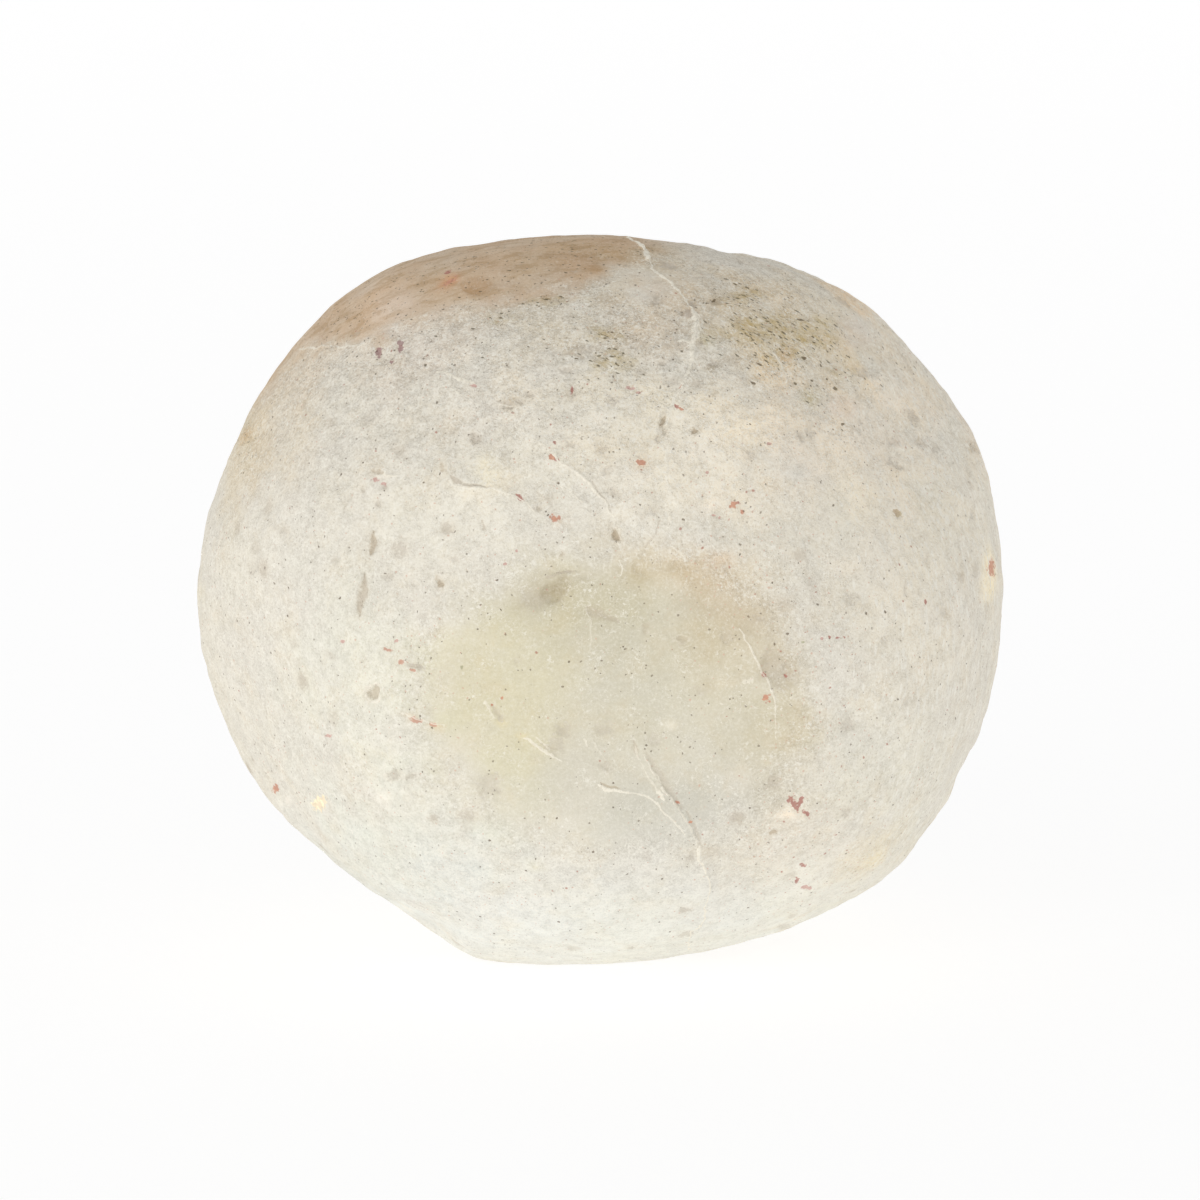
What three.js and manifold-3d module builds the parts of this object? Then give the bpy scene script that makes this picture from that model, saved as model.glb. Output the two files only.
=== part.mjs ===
// A whole, unopened agate geode: one pale, chalky nodule that rests on a small flat spot.
// Millimetres, +Z up. The origin is at the foot, under the middle of the bounding box. The front faces -Y.
// The nodule is a closed form around its centre: a radius is worked out for every direction, and the
// directions come from an icosphere that is made finer wherever a pit, a crack or a vein needs it.
import * as THREE from "three";
import { mergeVertices } from "three/addons/utils/BufferGeometryUtils.js";
import Module from "manifold-3d";

// ---- Driving dimensions, in mm ----

const FRONT_DEPTH = 50; // from the plane of the widest outline to the front
const BACK_DEPTH = 51; // and to the back
const SQUARENESS = 2.3; // 2 is an ellipsoid, more is boxier from the outline to the front and back
const OUTLINE_LEAN = THREE.MathUtils.degToRad(8); // the plane of the widest outline leans back
const SEEN_FROM = 613; // the distance in front at which the marks on the front were laid out
const FOOT_BELOW_CENTRE = 47.9; // where the foot is worn flat

// The widest outline, as [angle in degrees from +X, radius].
const OUTLINE = [
  [0, 54.9],
  [12, 55.1],
  [24, 55.9],
  [36, 54.7],
  [47, 54.1],
  [60, 51.8],
  [75, 49.6],
  [90, 49.3],
  [105, 50.5],
  [118, 52.6],
  [129, 54.0],
  [145, 54.1],
  [160, 53.9],
  [175, 54.5],
  [186, 54.5],
  [200, 53.8],
  [212, 52.8],
  [223, 50.9],
  [236, 50.0],
  [244, 50.4],
  [250, 51.6],
  [257, 50.7],
  [268, 49.7],
  [282, 49.6],
  [294, 50.5],
  [305, 52.3],
  [317, 54.1],
  [329, 54.3],
  [345, 54.7],
];

// Away from that outline its small corners fade into this even round, a squarish oval.
const ROUND_RADIUS = 52.6;
const ROUND_WIDER = 2.6; // how far the oval is wider than high
const ROUND_CORNERS = 0.5; // how far its four corners stand out
const CORNERS_FADE = [0.25, 0.85]; // between these slopes of the direction towards the front or back

// ---- The nodule's own axes: across, up the leaning outline, and out to the front ----

const ACROSS = new THREE.Vector3(1, 0, 0);
const RISE = new THREE.Vector3(0, Math.sin(OUTLINE_LEAN), Math.cos(OUTLINE_LEAN));
const OUT = new THREE.Vector3(0, -Math.cos(OUTLINE_LEAN), Math.sin(OUTLINE_LEAN));

const inBody = (across, rise, out) =>
  new THREE.Vector3()
    .addScaledVector(ACROSS, across)
    .addScaledVector(RISE, rise)
    .addScaledVector(OUT, out);

// A direction by its bearing round the nodule, 0 at the front and 90 at the right, and its height above
// the middle, both in degrees.
function towards(bearing, height) {
  const round = THREE.MathUtils.degToRad(bearing);
  const up = THREE.MathUtils.degToRad(height);
  return inBody(Math.sin(round) * Math.cos(up), Math.sin(up), Math.cos(round) * Math.cos(up));
}

// ---- Even numbers from a seed, and soft noise ----

function seeded(seed) {
  let state = seed;
  return () => {
    state = (Math.imul(state, 1664525) + 1013904223) >>> 0;
    return state / 2 ** 32;
  };
}

function cornerValue(x, y, z) {
  let h = Math.imul(x, 374761393) + Math.imul(y, 668265263) + Math.imul(z, 1440662683);
  h = Math.imul(h ^ (h >>> 13), 1274126177);
  return ((h ^ (h >>> 16)) >>> 0) / 2 ** 31 - 1;
}

// Value noise from -1 to 1, with one hump or hollow to each wavelength.
function noise(point, wavelength) {
  const at = point.clone().divideScalar(wavelength);
  const cell = at.clone().floor();
  const [fx, fy, fz] = at.clone().sub(cell).toArray().map((t) => t * t * (3 - 2 * t));
  let sum = 0;
  for (let corner = 0; corner < 8; corner++) {
    const [i, j, k] = [corner & 1, (corner >> 1) & 1, corner >> 2];
    const share = (i ? fx : 1 - fx) * (j ? fy : 1 - fy) * (k ? fz : 1 - fz);
    sum += share * cornerValue(cell.x + i, cell.y + j, cell.z + k);
  }
  return sum;
}

// ---- The body ----

// The outline's radius at an angle, on a smooth closed curve through its points.
function outlineRadius(degrees) {
  const count = OUTLINE.length;
  const point = (i) => {
    const turns = Math.floor(i / count);
    const [angle, radius] = OUTLINE[i - turns * count];
    return [angle + 360 * turns, radius];
  };
  const i = OUTLINE.findLastIndex(([angle]) => angle <= degrees);
  const [before, start, end, after] = [point(i - 1), point(i), point(i + 1), point(i + 2)];
  const span = end[0] - start[0];
  const t = (degrees - start[0]) / span;
  const startSlope = ((end[1] - before[1]) / (end[0] - before[0])) * span;
  const endSlope = ((after[1] - start[1]) / (after[0] - start[0])) * span;
  return (
    (2 * t ** 3 - 3 * t ** 2 + 1) * start[1] +
    (t ** 3 - 2 * t ** 2 + t) * startSlope +
    (3 * t ** 2 - 2 * t ** 3) * end[1] +
    (t ** 3 - t ** 2) * endSlope
  );
}

const roundRadius = (angle) =>
  ROUND_RADIUS + ROUND_WIDER * Math.cos(2 * angle) - ROUND_CORNERS * Math.cos(4 * angle);

// The plain rounded form, before anything is worn off or added.
function plainRadius(direction) {
  const rise = direction.dot(RISE);
  const out = direction.dot(OUT);
  const spread = Math.hypot(direction.x, rise);
  const angle = Math.atan2(rise, direction.x);
  const degrees = (THREE.MathUtils.radToDeg(angle) + 360) % 360;
  const fade = THREE.MathUtils.smoothstep(Math.abs(out), ...CORNERS_FADE);
  const rim = THREE.MathUtils.lerp(outlineRadius(degrees), roundRadius(angle), fade);
  const depth = out > 0 ? FRONT_DEPTH : BACK_DEPTH;
  const bulk = (spread / rim) ** SQUARENESS + (Math.abs(out) / depth) ** SQUARENESS;
  return bulk ** (-1 / SQUARENESS);
}

// Faces worn flat: which way each looks, its distance from the centre, and how softly its edge turns.
const WORN_FACES = [
  { facing: towards(2, -13), distance: 47.2, edge: 1.8 }, // the broad face low on the front
  { facing: towards(-58, -24), distance: 51.5, edge: 7 },
  { facing: towards(52, 30), distance: 52, edge: 8 },
  { facing: towards(146, 10), distance: 54, edge: 10 },
  { facing: towards(222, -16), distance: 53.5, edge: 10 },
  { facing: towards(196, 48), distance: 53, edge: 9 },
];

// Broad hollows and swellings: where each sits, how far it reaches, and its height.
const SWELLINGS = [
  { middle: towards(3, -15), reach: 19, height: -0.9 }, // the worn front face is a little dished
  { middle: towards(-16, 30), reach: 17, height: 0.6 },
  { middle: towards(38, -30), reach: 13, height: 0.7 },
  { middle: towards(-38, -22), reach: 14, height: 0.5 },
  { middle: towards(166, 26), reach: 26, height: 0.8 },
  { middle: towards(236, 6), reach: 18, height: -0.9 },
  { middle: towards(130, -28), reach: 22, height: 0.8 },
  { middle: towards(188, -14), reach: 15, height: -0.6 },
  { middle: towards(100, 55), reach: 15, height: 0.6 },
];

const LUMPS = [
  { wavelength: 38, height: 1.1 },
  { wavelength: 19, height: 0.6 },
  { wavelength: 9, height: 0.26 },
];
const LUMPS_AT_OUTLINE = 0.12; // the lumps shrink to this share at the widest outline

// The lesser of two lengths, with the corner between them rounded over.
function softLesser(a, b, edge) {
  const nearness = Math.max(edge - Math.abs(a - b), 0) / edge;
  return Math.min(a, b) - (nearness * nearness * edge) / 4;
}

const hump = (t) => (t < 1 ? (1 - t * t) ** 2 : 0);

function bodyPoint(direction) {
  let radius = plainRadius(direction);
  for (const { facing, distance, edge } of WORN_FACES) {
    const slope = direction.dot(facing);
    if (slope > 0.3) radius = softLesser(radius, distance / slope, edge);
  }
  const point = direction.clone().multiplyScalar(radius);
  for (const { middle, reach, height } of SWELLINGS) {
    const from = point.distanceTo(middle.clone().multiplyScalar(radius));
    radius += height * hump(from / reach);
  }
  const fromOutline = THREE.MathUtils.smoothstep(Math.abs(direction.dot(OUT)), 0, 0.5);
  const share = THREE.MathUtils.lerp(LUMPS_AT_OUTLINE, 1, fromOutline);
  for (const { wavelength, height } of LUMPS) radius += share * height * noise(point, wavelength);
  return direction.clone().multiplyScalar(radius);
}

// ---- Marks on the surface: pits, cracks and raised veins ----

// The point of the front that lies behind (across, rise) on the outline's plane, for an eye SEEN_FROM away.
function onFront(across, rise) {
  const eye = OUT.clone().multiplyScalar(SEEN_FROM);
  const aim = inBody(across, rise, 0);
  let near = 0.8;
  let far = 1;
  for (let step = 0; step < 30; step++) {
    const middle = (near + far) / 2;
    const point = eye.clone().lerp(aim, middle);
    if (point.length() > plainRadius(point.clone().normalize())) near = middle;
    else far = middle;
  }
  return surfacePoint(eye.clone().lerp(aim, far));
}

const surfacePoint = (point) => bodyPoint(point.clone().normalize());

// Pits on the front: where, half the width, the depth, and where a long one ends.
const FRONT_PITS = [
  { at: [-30.8, -12.8], half: 1.3, depth: 0.7 },
  { at: [-32.2, 3.6], to: [-32.8, -2.2], half: 0.8, depth: 0.6 },
  { at: [-30.9, 9.2], to: [-31.3, 6.6], half: 0.7, depth: 0.5 },
  { at: [-21.8, 2.0], half: 1.0, depth: 0.6 },
  { at: [-6.2, 1.4], half: 2.6, depth: 1.1 },
  { at: [-1.9, -1.4], to: [1.8, -2.8], half: 1.2, depth: 0.5 },
  { at: [2.0, 11.2], to: [2.1, 8.2], half: 0.8, depth: 0.7 },
  { at: [24.2, -9.0], half: 2.6, depth: 0.6 },
  { at: [8.8, 25.2], to: [8.1, 22.8], half: 0.8, depth: 0.6 },
  { at: [12.9, 22.9], half: 0.8, depth: 0.5 },
  { at: [40.4, 11.6], half: 0.8, depth: 0.5 },
  { at: [40.8, 18.2], half: 1.3, depth: 0.6 },
  { at: [39.8, 22.0], half: 1.4, depth: 0.5 },
  { at: [43.8, 21.5], half: 1.1, depth: 0.4 },
  { at: [-17.0, 21.8], half: 1.3, depth: 0.5 },
  { at: [-4.0, 20.6], half: 1.1, depth: 0.4 },
  { at: [5.5, 3.9], half: 1.4, depth: 0.4 },
  { at: [12.4, 5.0], half: 1.8, depth: 0.5 },
  { at: [11.0, -5.0], half: 1.3, depth: 0.4 },
  { at: [34.0, -17.2], half: 1.5, depth: 0.4 },
  { at: [0.2, -17.8], half: 1.2, depth: 0.4 },
  { at: [-27.8, -24.1], half: 1.3, depth: 0.5 },
  { at: [-14.8, -25.4], half: 1.9, depth: 0.4 },
  { at: [24.9, 33.1], half: 0.9, depth: 0.5 },
  { at: [28.2, 33.0], half: 1.0, depth: 0.5 },
  { at: [26.8, 29.4], half: 1.0, depth: 0.5 },
  { at: [32.0, 28.8], half: 0.9, depth: 0.5 },
  { at: [21.4, 31.8], half: 0.9, depth: 0.4 },
];

// Low knobs on the front.
const FRONT_KNOBS = [
  { at: [28.4, -28.4], half: 1.5, height: 0.5 },
  { at: [-38.2, -27.6], half: 1.4, height: 0.4 },
];

// Knobs and notches on the widest outline, as [across, rise, out] from the centre.
const RIM_MARKS = [
  { height: 0.6, half: 1.6, line: [[-54.9, 1.2, 1]] },
  { height: 0.9, half: 1.6, line: [[-26.4, -42.3, 2]] },
  { height: 0.5, half: 2, line: [[54.9, 3.4, 3]] },
  { height: -1.3, half: 3, line: [[48.4, -22.7, -3], [48.4, -22.7, 6]] },
  { height: -0.7, half: 1.5, line: [[15.1, 47.6, -3], [15.1, 47.6, 4]] },
];

// Raised veins that filled old cracks, each as the points that it runs through.
const FRONT_VEINS = [
  { height: 0.4, half: 0.8, line: [[3.8, 48.8], [6.9, 45], [11.4, 41], [13.2, 37]] },
  { height: 0.5, half: 0.9, line: [[12.9, 39.5], [13.2, 37], [12.4, 32.5], [10.3, 27.6]] },
  { height: 0.3, half: 0.7, line: [[8.6, 22], [9.1, 18.5], [10, 13]] },
  { height: 0.3, half: 0.7, line: [[-9.7, 22.2], [-4.8, 18.2], [-0.5, 14.6], [1.7, 11.6]] },
  { height: 0.3, half: 0.7, line: [[-20.1, 16.5], [-16.7, 15.2], [-13.3, 14.6], [-8.8, 12]] },
  { height: 0.3, half: 0.7, line: [[18.9, -3.8], [21.4, -7.8], [22.9, -11.4], [24, -15.4], [23.4, -17.7]] },
  { height: 0.35, half: 0.7, line: [[-24.2, 30.8], [-20, 30.3], [-17.1, 29.4]] },
  { height: 0.4, half: 0.8, line: [[-10.1, -19], [-7.2, -21], [-5, -21.8]] },
  { height: 0.35, half: 0.8, line: [[-0.1, -25.2], [4.1, -26.4], [7.3, -27.6], [10.4, -30.8]] },
  { height: 0.5, half: 0.9, line: [[4.5, -19.6], [6.7, -22.3], [9, -26.1], [11.6, -30], [13.2, -33.4]] },
  { height: 0.3, half: 0.7, line: [[13.6, -35.4], [14.8, -38.2], [14.2, -41.4], [12.6, -45.5]] },
];

// The rest of the rind carries the same marks, as [bearing, height] in degrees.
const BACK_VEINS = [
  { height: 0.4, half: 0.8, line: [[152, 60], [160, 49], [157, 38], [168, 27], [171, 14]] },
  { height: 0.4, half: 0.8, line: [[171, 14], [177, 8], [182, 4], [184, -14]] },
  { height: 0.35, half: 0.8, line: [[171, 14], [184, 13], [197, 8], [212, 1]] },
  { height: 0.35, half: 0.8, line: [[228, 44], [224, 33], [234, 20], [230, 8], [237, -3], [240, -14]] },
  { height: 0.35, half: 0.8, line: [[112, 20], [121, 13], [125, 3], [133, -6], [128, -19]] },
  { height: 0.4, half: 0.8, line: [[5, 76], [40, 74], [70, 71], [81, 62], [95, 55], [99, 46]] },
];
const BACK_PITS = 30;
const BACK_PIT_HALF = [0.9, 2.4];
const BACK_PIT_DEPTH = 0.45; // as a share of half the width

function backPits() {
  const random = seeded(41);
  const pits = [];
  while (pits.length < BACK_PITS) {
    const bearing = 75 + 210 * random();
    const height = THREE.MathUtils.radToDeg(Math.asin(1.75 * random() - 0.8));
    const half = THREE.MathUtils.lerp(...BACK_PIT_HALF, random() ** 2);
    pits.push({ at: [bearing, height], half, depth: BACK_PIT_DEPTH * half });
  }
  return pits;
}

const onRest = (bearing, height) => bodyPoint(towards(bearing, height));
const onRim = (across, rise, out) => surfacePoint(inBody(across, rise, out));

// A mark is a line of points on the body with a half width and a height, which is below 0 for a pit.
const LONGEST_STEP = 4; // a line keeps to the surface by a point at least this often

function keepToSurface(points) {
  const steps = points.slice(1).flatMap((end, i) => {
    const start = points[i];
    const count = Math.ceil(start.distanceTo(end) / LONGEST_STEP);
    const at = (step) => surfacePoint(start.clone().lerp(end, step / count));
    return Array.from({ length: count }, (_, step) => at(step + 1));
  });
  return [points[0], ...steps];
}

const lineMark = (place) => ({ line, half, height }) => ({
  line: keepToSurface(line.map((point) => place(...point))),
  half,
  height,
});
const pitMark = (place) => ({ at, to, half, depth }) =>
  lineMark(place)({ line: to ? [at, to] : [at], half, height: -depth });
const knobMark = ({ at, half, height }) => lineMark(onFront)({ line: [at], half, height });

const MARKS = [
  ...FRONT_PITS.map(pitMark(onFront)),
  ...FRONT_KNOBS.map(knobMark),
  ...FRONT_VEINS.map(lineMark(onFront)),
  ...RIM_MARKS.map(lineMark(onRim)),
  ...backPits().map(pitMark(onRest)),
  ...BACK_VEINS.map(lineMark(onRest)),
];

function distanceToLine(point, line) {
  if (line.length === 1) return point.distanceTo(line[0]);
  const nearest = new THREE.Vector3();
  const distances = line.slice(1).map((end, i) => {
    new THREE.Line3(line[i], end).closestPointToPoint(point, true, nearest);
    return nearest.distanceTo(point);
  });
  return Math.min(...distances);
}

// The finished surface in one direction.
function rindPoint(direction) {
  const point = bodyPoint(direction);
  let raised = 0;
  for (const { line, half, height } of MARKS) raised += height * hump(distanceToLine(point, line) / half);
  return point.addScaledVector(direction, raised);
}

// ---- The mesh: an icosphere of directions, finer near the marks ----

const ICOSPHERE_DETAIL = 13;
const EDGE_ON_MARK = 1.45; // the longest edge on a mark, as a share of its half width
const LONGEST_ON_MARK = 2.3; // and in mm
const COARSER_BY = 2.2; // how fast the edges may grow with the distance from a mark
const MOST_PASSES = 3;

const longestEdgeAt = (point) =>
  Math.min(
    ...MARKS.map(({ line, half }) => {
      const onMark = Math.min(EDGE_ON_MARK * half, LONGEST_ON_MARK);
      return onMark + COARSER_BY * Math.max(distanceToLine(point, line) - half, 0);
    }),
  );

function icosphere() {
  const sphere = new THREE.IcosahedronGeometry(1, ICOSPHERE_DETAIL);
  sphere.deleteAttribute("normal");
  sphere.deleteAttribute("uv");
  const merged = mergeVertices(sphere, 1e-5);
  const position = merged.getAttribute("position");
  const directions = [];
  for (let i = 0; i < position.count; i++) {
    directions.push(new THREE.Vector3().fromBufferAttribute(position, i));
  }
  const corners = merged.index.array;
  const triangles = [];
  for (let i = 0; i < corners.length; i += 3) triangles.push([...corners.slice(i, i + 3)]);
  return { directions, triangles };
}

// Halves every edge that is too long for its place. A triangle is cut by how many of its edges were halved.
function halveLongEdges(directions, triangles) {
  const points = directions.map(bodyPoint);
  const middles = new Map();
  const middleOf = (a, b) => {
    const key = a < b ? `${a} ${b}` : `${b} ${a}`;
    if (!middles.has(key)) {
      const between = directions[a].clone().add(directions[b]).normalize();
      const long = points[a].distanceTo(points[b]) > longestEdgeAt(bodyPoint(between));
      middles.set(key, long ? directions.push(between) - 1 : null);
    }
    return middles.get(key);
  };
  return triangles.flatMap(([a, b, c]) => {
    const corners = [a, b, c];
    const cuts = corners.map((corner, i) => middleOf(corner, corners[(i + 1) % 3]));
    const count = cuts.filter((cut) => cut !== null).length;
    if (count === 0) return [corners];
    if (count === 3) {
      const [ab, bc, ca] = cuts;
      return [[a, ab, ca], [ab, b, bc], [ca, bc, c], [ab, bc, ca]];
    }
    // Turn the triangle so that its first edge is cut and, of two cut edges, the second is the other one.
    const turn = cuts.findIndex((cut, i) => cut !== null && (count === 1 || cuts[(i + 1) % 3] !== null));
    const [p, q, r] = [0, 1, 2].map((i) => corners[(i + turn) % 3]);
    const [pq, qr] = [0, 1].map((i) => cuts[(i + turn) % 3]);
    if (count === 1) return [[p, pq, r], [pq, q, r]];
    return [[pq, q, qr], [p, pq, qr], [p, qr, r]];
  });
}

function rindMesh() {
  const { directions, triangles } = icosphere();
  let faces = triangles;
  for (let pass = 0; pass < MOST_PASSES; pass++) faces = halveLongEdges(directions, faces);
  const vertProperties = new Float32Array(directions.flatMap((direction) => rindPoint(direction).toArray()));
  return { numProp: 3, vertProperties, triVerts: new Uint32Array(faces.flat()) };
}

// ---- The solid: the rind's form with its foot cut flat ----

const wasm = await Module();
wasm.setup();

function solidOf(geometry) {
  geometry.deleteAttribute("normal");
  geometry.deleteAttribute("uv");
  const merged = mergeVertices(geometry, 1e-4);
  const mesh = new wasm.Mesh({
    numProp: 3,
    vertProperties: merged.getAttribute("position").array,
    triVerts: new Uint32Array(merged.index.array),
  });
  return new wasm.Manifold(mesh);
}

function geodeGeometry() {
  const nodule = new wasm.Manifold(new wasm.Mesh(rindMesh()));
  const side = 4 * ROUND_RADIUS; // a cube wider than the nodule, whose top is the level of the foot
  const below = new THREE.BoxGeometry(side, side, side).translate(0, 0, -FOOT_BELOW_CENTRE - side / 2);
  const mesh = nodule.subtract(solidOf(below)).getMesh();
  const geometry = new THREE.BufferGeometry();
  geometry.setAttribute("position", new THREE.BufferAttribute(mesh.vertProperties, 3));
  geometry.setIndex(new THREE.BufferAttribute(mesh.triVerts, 1));
  geometry.computeBoundingBox();
  const { min, max } = geometry.boundingBox;
  geometry.translate(-(min.x + max.x) / 2, -(min.y + max.y) / 2, -min.z);
  geometry.computeVertexNormals();
  return geometry;
}

const rind = new THREE.MeshStandardMaterial({ color: 0xdcd5be, roughness: 0.92, metalness: 0 });

const geode = new THREE.Mesh(geodeGeometry(), rind);
geode.name = "geode";

const part = new THREE.Group();
part.add(geode);

export default part;
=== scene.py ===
"""A whole, unopened agate geode on a pale floor.

The stone's form comes from the frame. Here it gets a finer mesh, the relief of its veins, cracks and pits,
the colours of its stains and minerals, painted light and shade, and a chalky rind. Lengths are in metres
unless a name says mm.
"""

import math
import random

import bmesh
import bpy
import numpy as np
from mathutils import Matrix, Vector, noise
from mathutils.bvhtree import BVHTree
from mathutils.kdtree import KDTree


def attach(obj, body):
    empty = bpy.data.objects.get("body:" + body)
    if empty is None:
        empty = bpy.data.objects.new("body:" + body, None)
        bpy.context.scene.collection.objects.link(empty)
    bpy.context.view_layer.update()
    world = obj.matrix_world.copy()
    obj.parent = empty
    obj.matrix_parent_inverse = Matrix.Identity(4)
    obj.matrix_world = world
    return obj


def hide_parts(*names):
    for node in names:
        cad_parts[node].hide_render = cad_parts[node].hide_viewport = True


MM = 0.001

# ---- The view: places on the front are given in it, in steps from its upper left corner ----

VIEW_STEPS = 1200  # the square view is this many steps wide and high
VIEW_RISE = math.radians(8)  # the camera looks down on the stone by this much
VIEW_DISTANCE = 0.613
STONE_MIDDLE = Vector((0, 0, 0.0474))
LENS_MM = 134
SENSOR_MM = 36

ACROSS = np.array((1, 0, 0))
UPWARD = np.array((0, math.sin(VIEW_RISE), math.cos(VIEW_RISE)))
TOWARDS_VIEW = np.array((0, -math.cos(VIEW_RISE), math.sin(VIEW_RISE)))
CAMERA_PLACE = np.array(STONE_MIDDLE) + VIEW_DISTANCE * TOWARDS_VIEW
STEPS_PER_SLOPE = LENS_MM / SENSOR_MM * VIEW_STEPS
STEP_MM = VIEW_DISTANCE / MM / STEPS_PER_SLOPE  # one step of the view, at the stone's middle


def in_view(points):
    """Where points show in the view, as steps from the left and from the top."""
    offset = points - CAMERA_PLACE
    depth = -offset @ TOWARDS_VIEW
    x = VIEW_STEPS / 2 + offset @ ACROSS / depth * STEPS_PER_SLOPE
    y = VIEW_STEPS / 2 - offset @ UPWARD / depth * STEPS_PER_SLOPE
    return x, y


def under_view(tree, x, y):
    """The point of the stone that shows at a place of the view."""
    right = (x - VIEW_STEPS / 2) / STEPS_PER_SLOPE
    up = (VIEW_STEPS / 2 - y) / STEPS_PER_SLOPE
    direction = right * ACROSS + up * UPWARD - TOWARDS_VIEW
    place = tree.ray_cast(Vector(CAMERA_PLACE), Vector(direction))[0]
    return None if place is None else np.array(place)


# ---- Marks on the front: lines ----

VEIN_RAISE = 0.5  # veins stand this share of their height


def crack(half_mm, depth_mm, floor, tan, *places):
    """A line that goes in. floor and tan are how fully its floor turns grey and tan, colours that are partly
    its own and partly painted shade.
    """
    return {"places": places, "half": half_mm, "depth": depth_mm, "floor": floor, "tan": tan}


def vein(half_mm, height_mm, pale, *places):
    """A line that stands up."""
    return {"places": places, "half": half_mm, "height": VEIN_RAISE * height_mm, "pale": pale}


def ledge(drop_mm, run_mm, *places):
    """The surface stands drop_mm proud on the left of the line, as it is walked, and falls away there."""
    return {"places": places, "drop": drop_mm, "run": run_mm}


# A crack's or vein's places may each have a third number: its width there, as a share of the line's own.
CRACKS = [crack(*row) for row in [
    (0.18, 0.1, 0.75, 0.3, (451, 477, 0.6), (456, 481, 1.4), (462, 484), (470, 485, 1.3), (480, 487),
     (489, 488, 0.5)),
    (0.1, 0.05, 0.5, 0.3, (668, 452), (668, 470), (668, 482)),
    (0.12, 0.06, 0.6, 0.3, (671, 490), (673, 500)),
    (0.12, 0.05, 0.45, 0.3, (592, 482), (604, 498), (612, 512)),
    # painted shadow: this crack and the next lay a grey band beside the slab's right vein, along a shallow
    # groove
    (0.3, 0.1, 0.35, 0.3, (646, 753, 0.5), (653, 763), (661, 776, 1.3), (668, 788), (675, 798),
     (683, 809, 0.6)),
    (0.26, 0.1, 0.4, 0.3, (688, 812, 0.5), (694, 826, 1.2), (699, 838), (703, 847, 0.5)),
    (0.25, 0.1, 0.5, 0.6, (633, 741, 0.5), (634, 747, 1.3), (637, 754, 0.5)),
    (0.12, 0.08, 0.7, 0.9, (601, 781, 0.5), (606, 785), (613, 788, 1.2), (621, 788, 0.6)),
    # painted shadow: this crack lays grey between the two pale ridge lines low on the left, and the next one
    # beside the cream fleck at (488, 708), each along a shallow groove
    (0.2, 0.08, 0.5, 0.3, (542, 743), (549, 748), (556, 749, 0.5)),
    (0.25, 0.1, 0.4, 0.3, (493, 705, 0.6), (496, 711, 1.4), (500, 717, 0.6)),
    (0.1, 0.05, 0.4, 0.3, (660, 520), (656, 532), (646, 548)),
    (0.26, 0.1, 0.6, 0.8, (372, 470, 0.5), (378, 472, 1.5), (384, 474, 0.6)),
    (0.18, 0.05, 0.6, 0.3, (637, 455), (641, 460)),
    (0.12, 0.06, 0.5, 0.3, (497, 400), (510, 404), (524, 402)),
    (0.16, 0.14, 0.7, 0.3, (547, 577, 0.6), (556, 573), (566, 573, 1.2), (577, 570, 0.5)),
    # narrow wedges on the left
    (0.32, 0.3, 0.75, 0.8, (373, 530, 0.3), (373, 536, 0.8), (375, 542, 1.5), (373, 548, 1.1),
     (370, 554, 0.5)),
    (0.34, 0.35, 0.65, 0.6, (363, 572, 0.3), (363, 581, 0.9), (364, 589, 1.2), (361, 598, 1.3),
     (359, 606, 0.9), (358, 617, 0.4)),
    (0.42, 0.2, 0.45, 0.3, (588, 609, 0.5), (594, 612, 1.5), (602, 615, 1.1), (610, 619, 0.7),
     (618, 622, 0.3)),
    (0.18, 0.08, 0.5, 0.7, (482, 521), (483, 529)),
    (0.22, 0.06, 0.5, 1, (440, 464), (442, 470)),
    (0.2, 0.06, 0.9, 0.9, (771, 833), (776, 831)),
    (0.14, 0.08, 0.6, 0.4, (836, 296), (843, 302, 1.3), (849, 308, 0.5)),
    (0.12, 0.06, 0.4, 0.3, (898, 350), (908, 366), (914, 380)),
    (0.24, 0.08, 0.6, 0.6, (560, 356, 0.5), (570, 354, 1.2), (583, 359, 0.6)),
    (0.3, 0.1, 0.7, 0.1, (683, 312), (690, 313, 1.3), (697, 316, 0.6)),
]]

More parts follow.
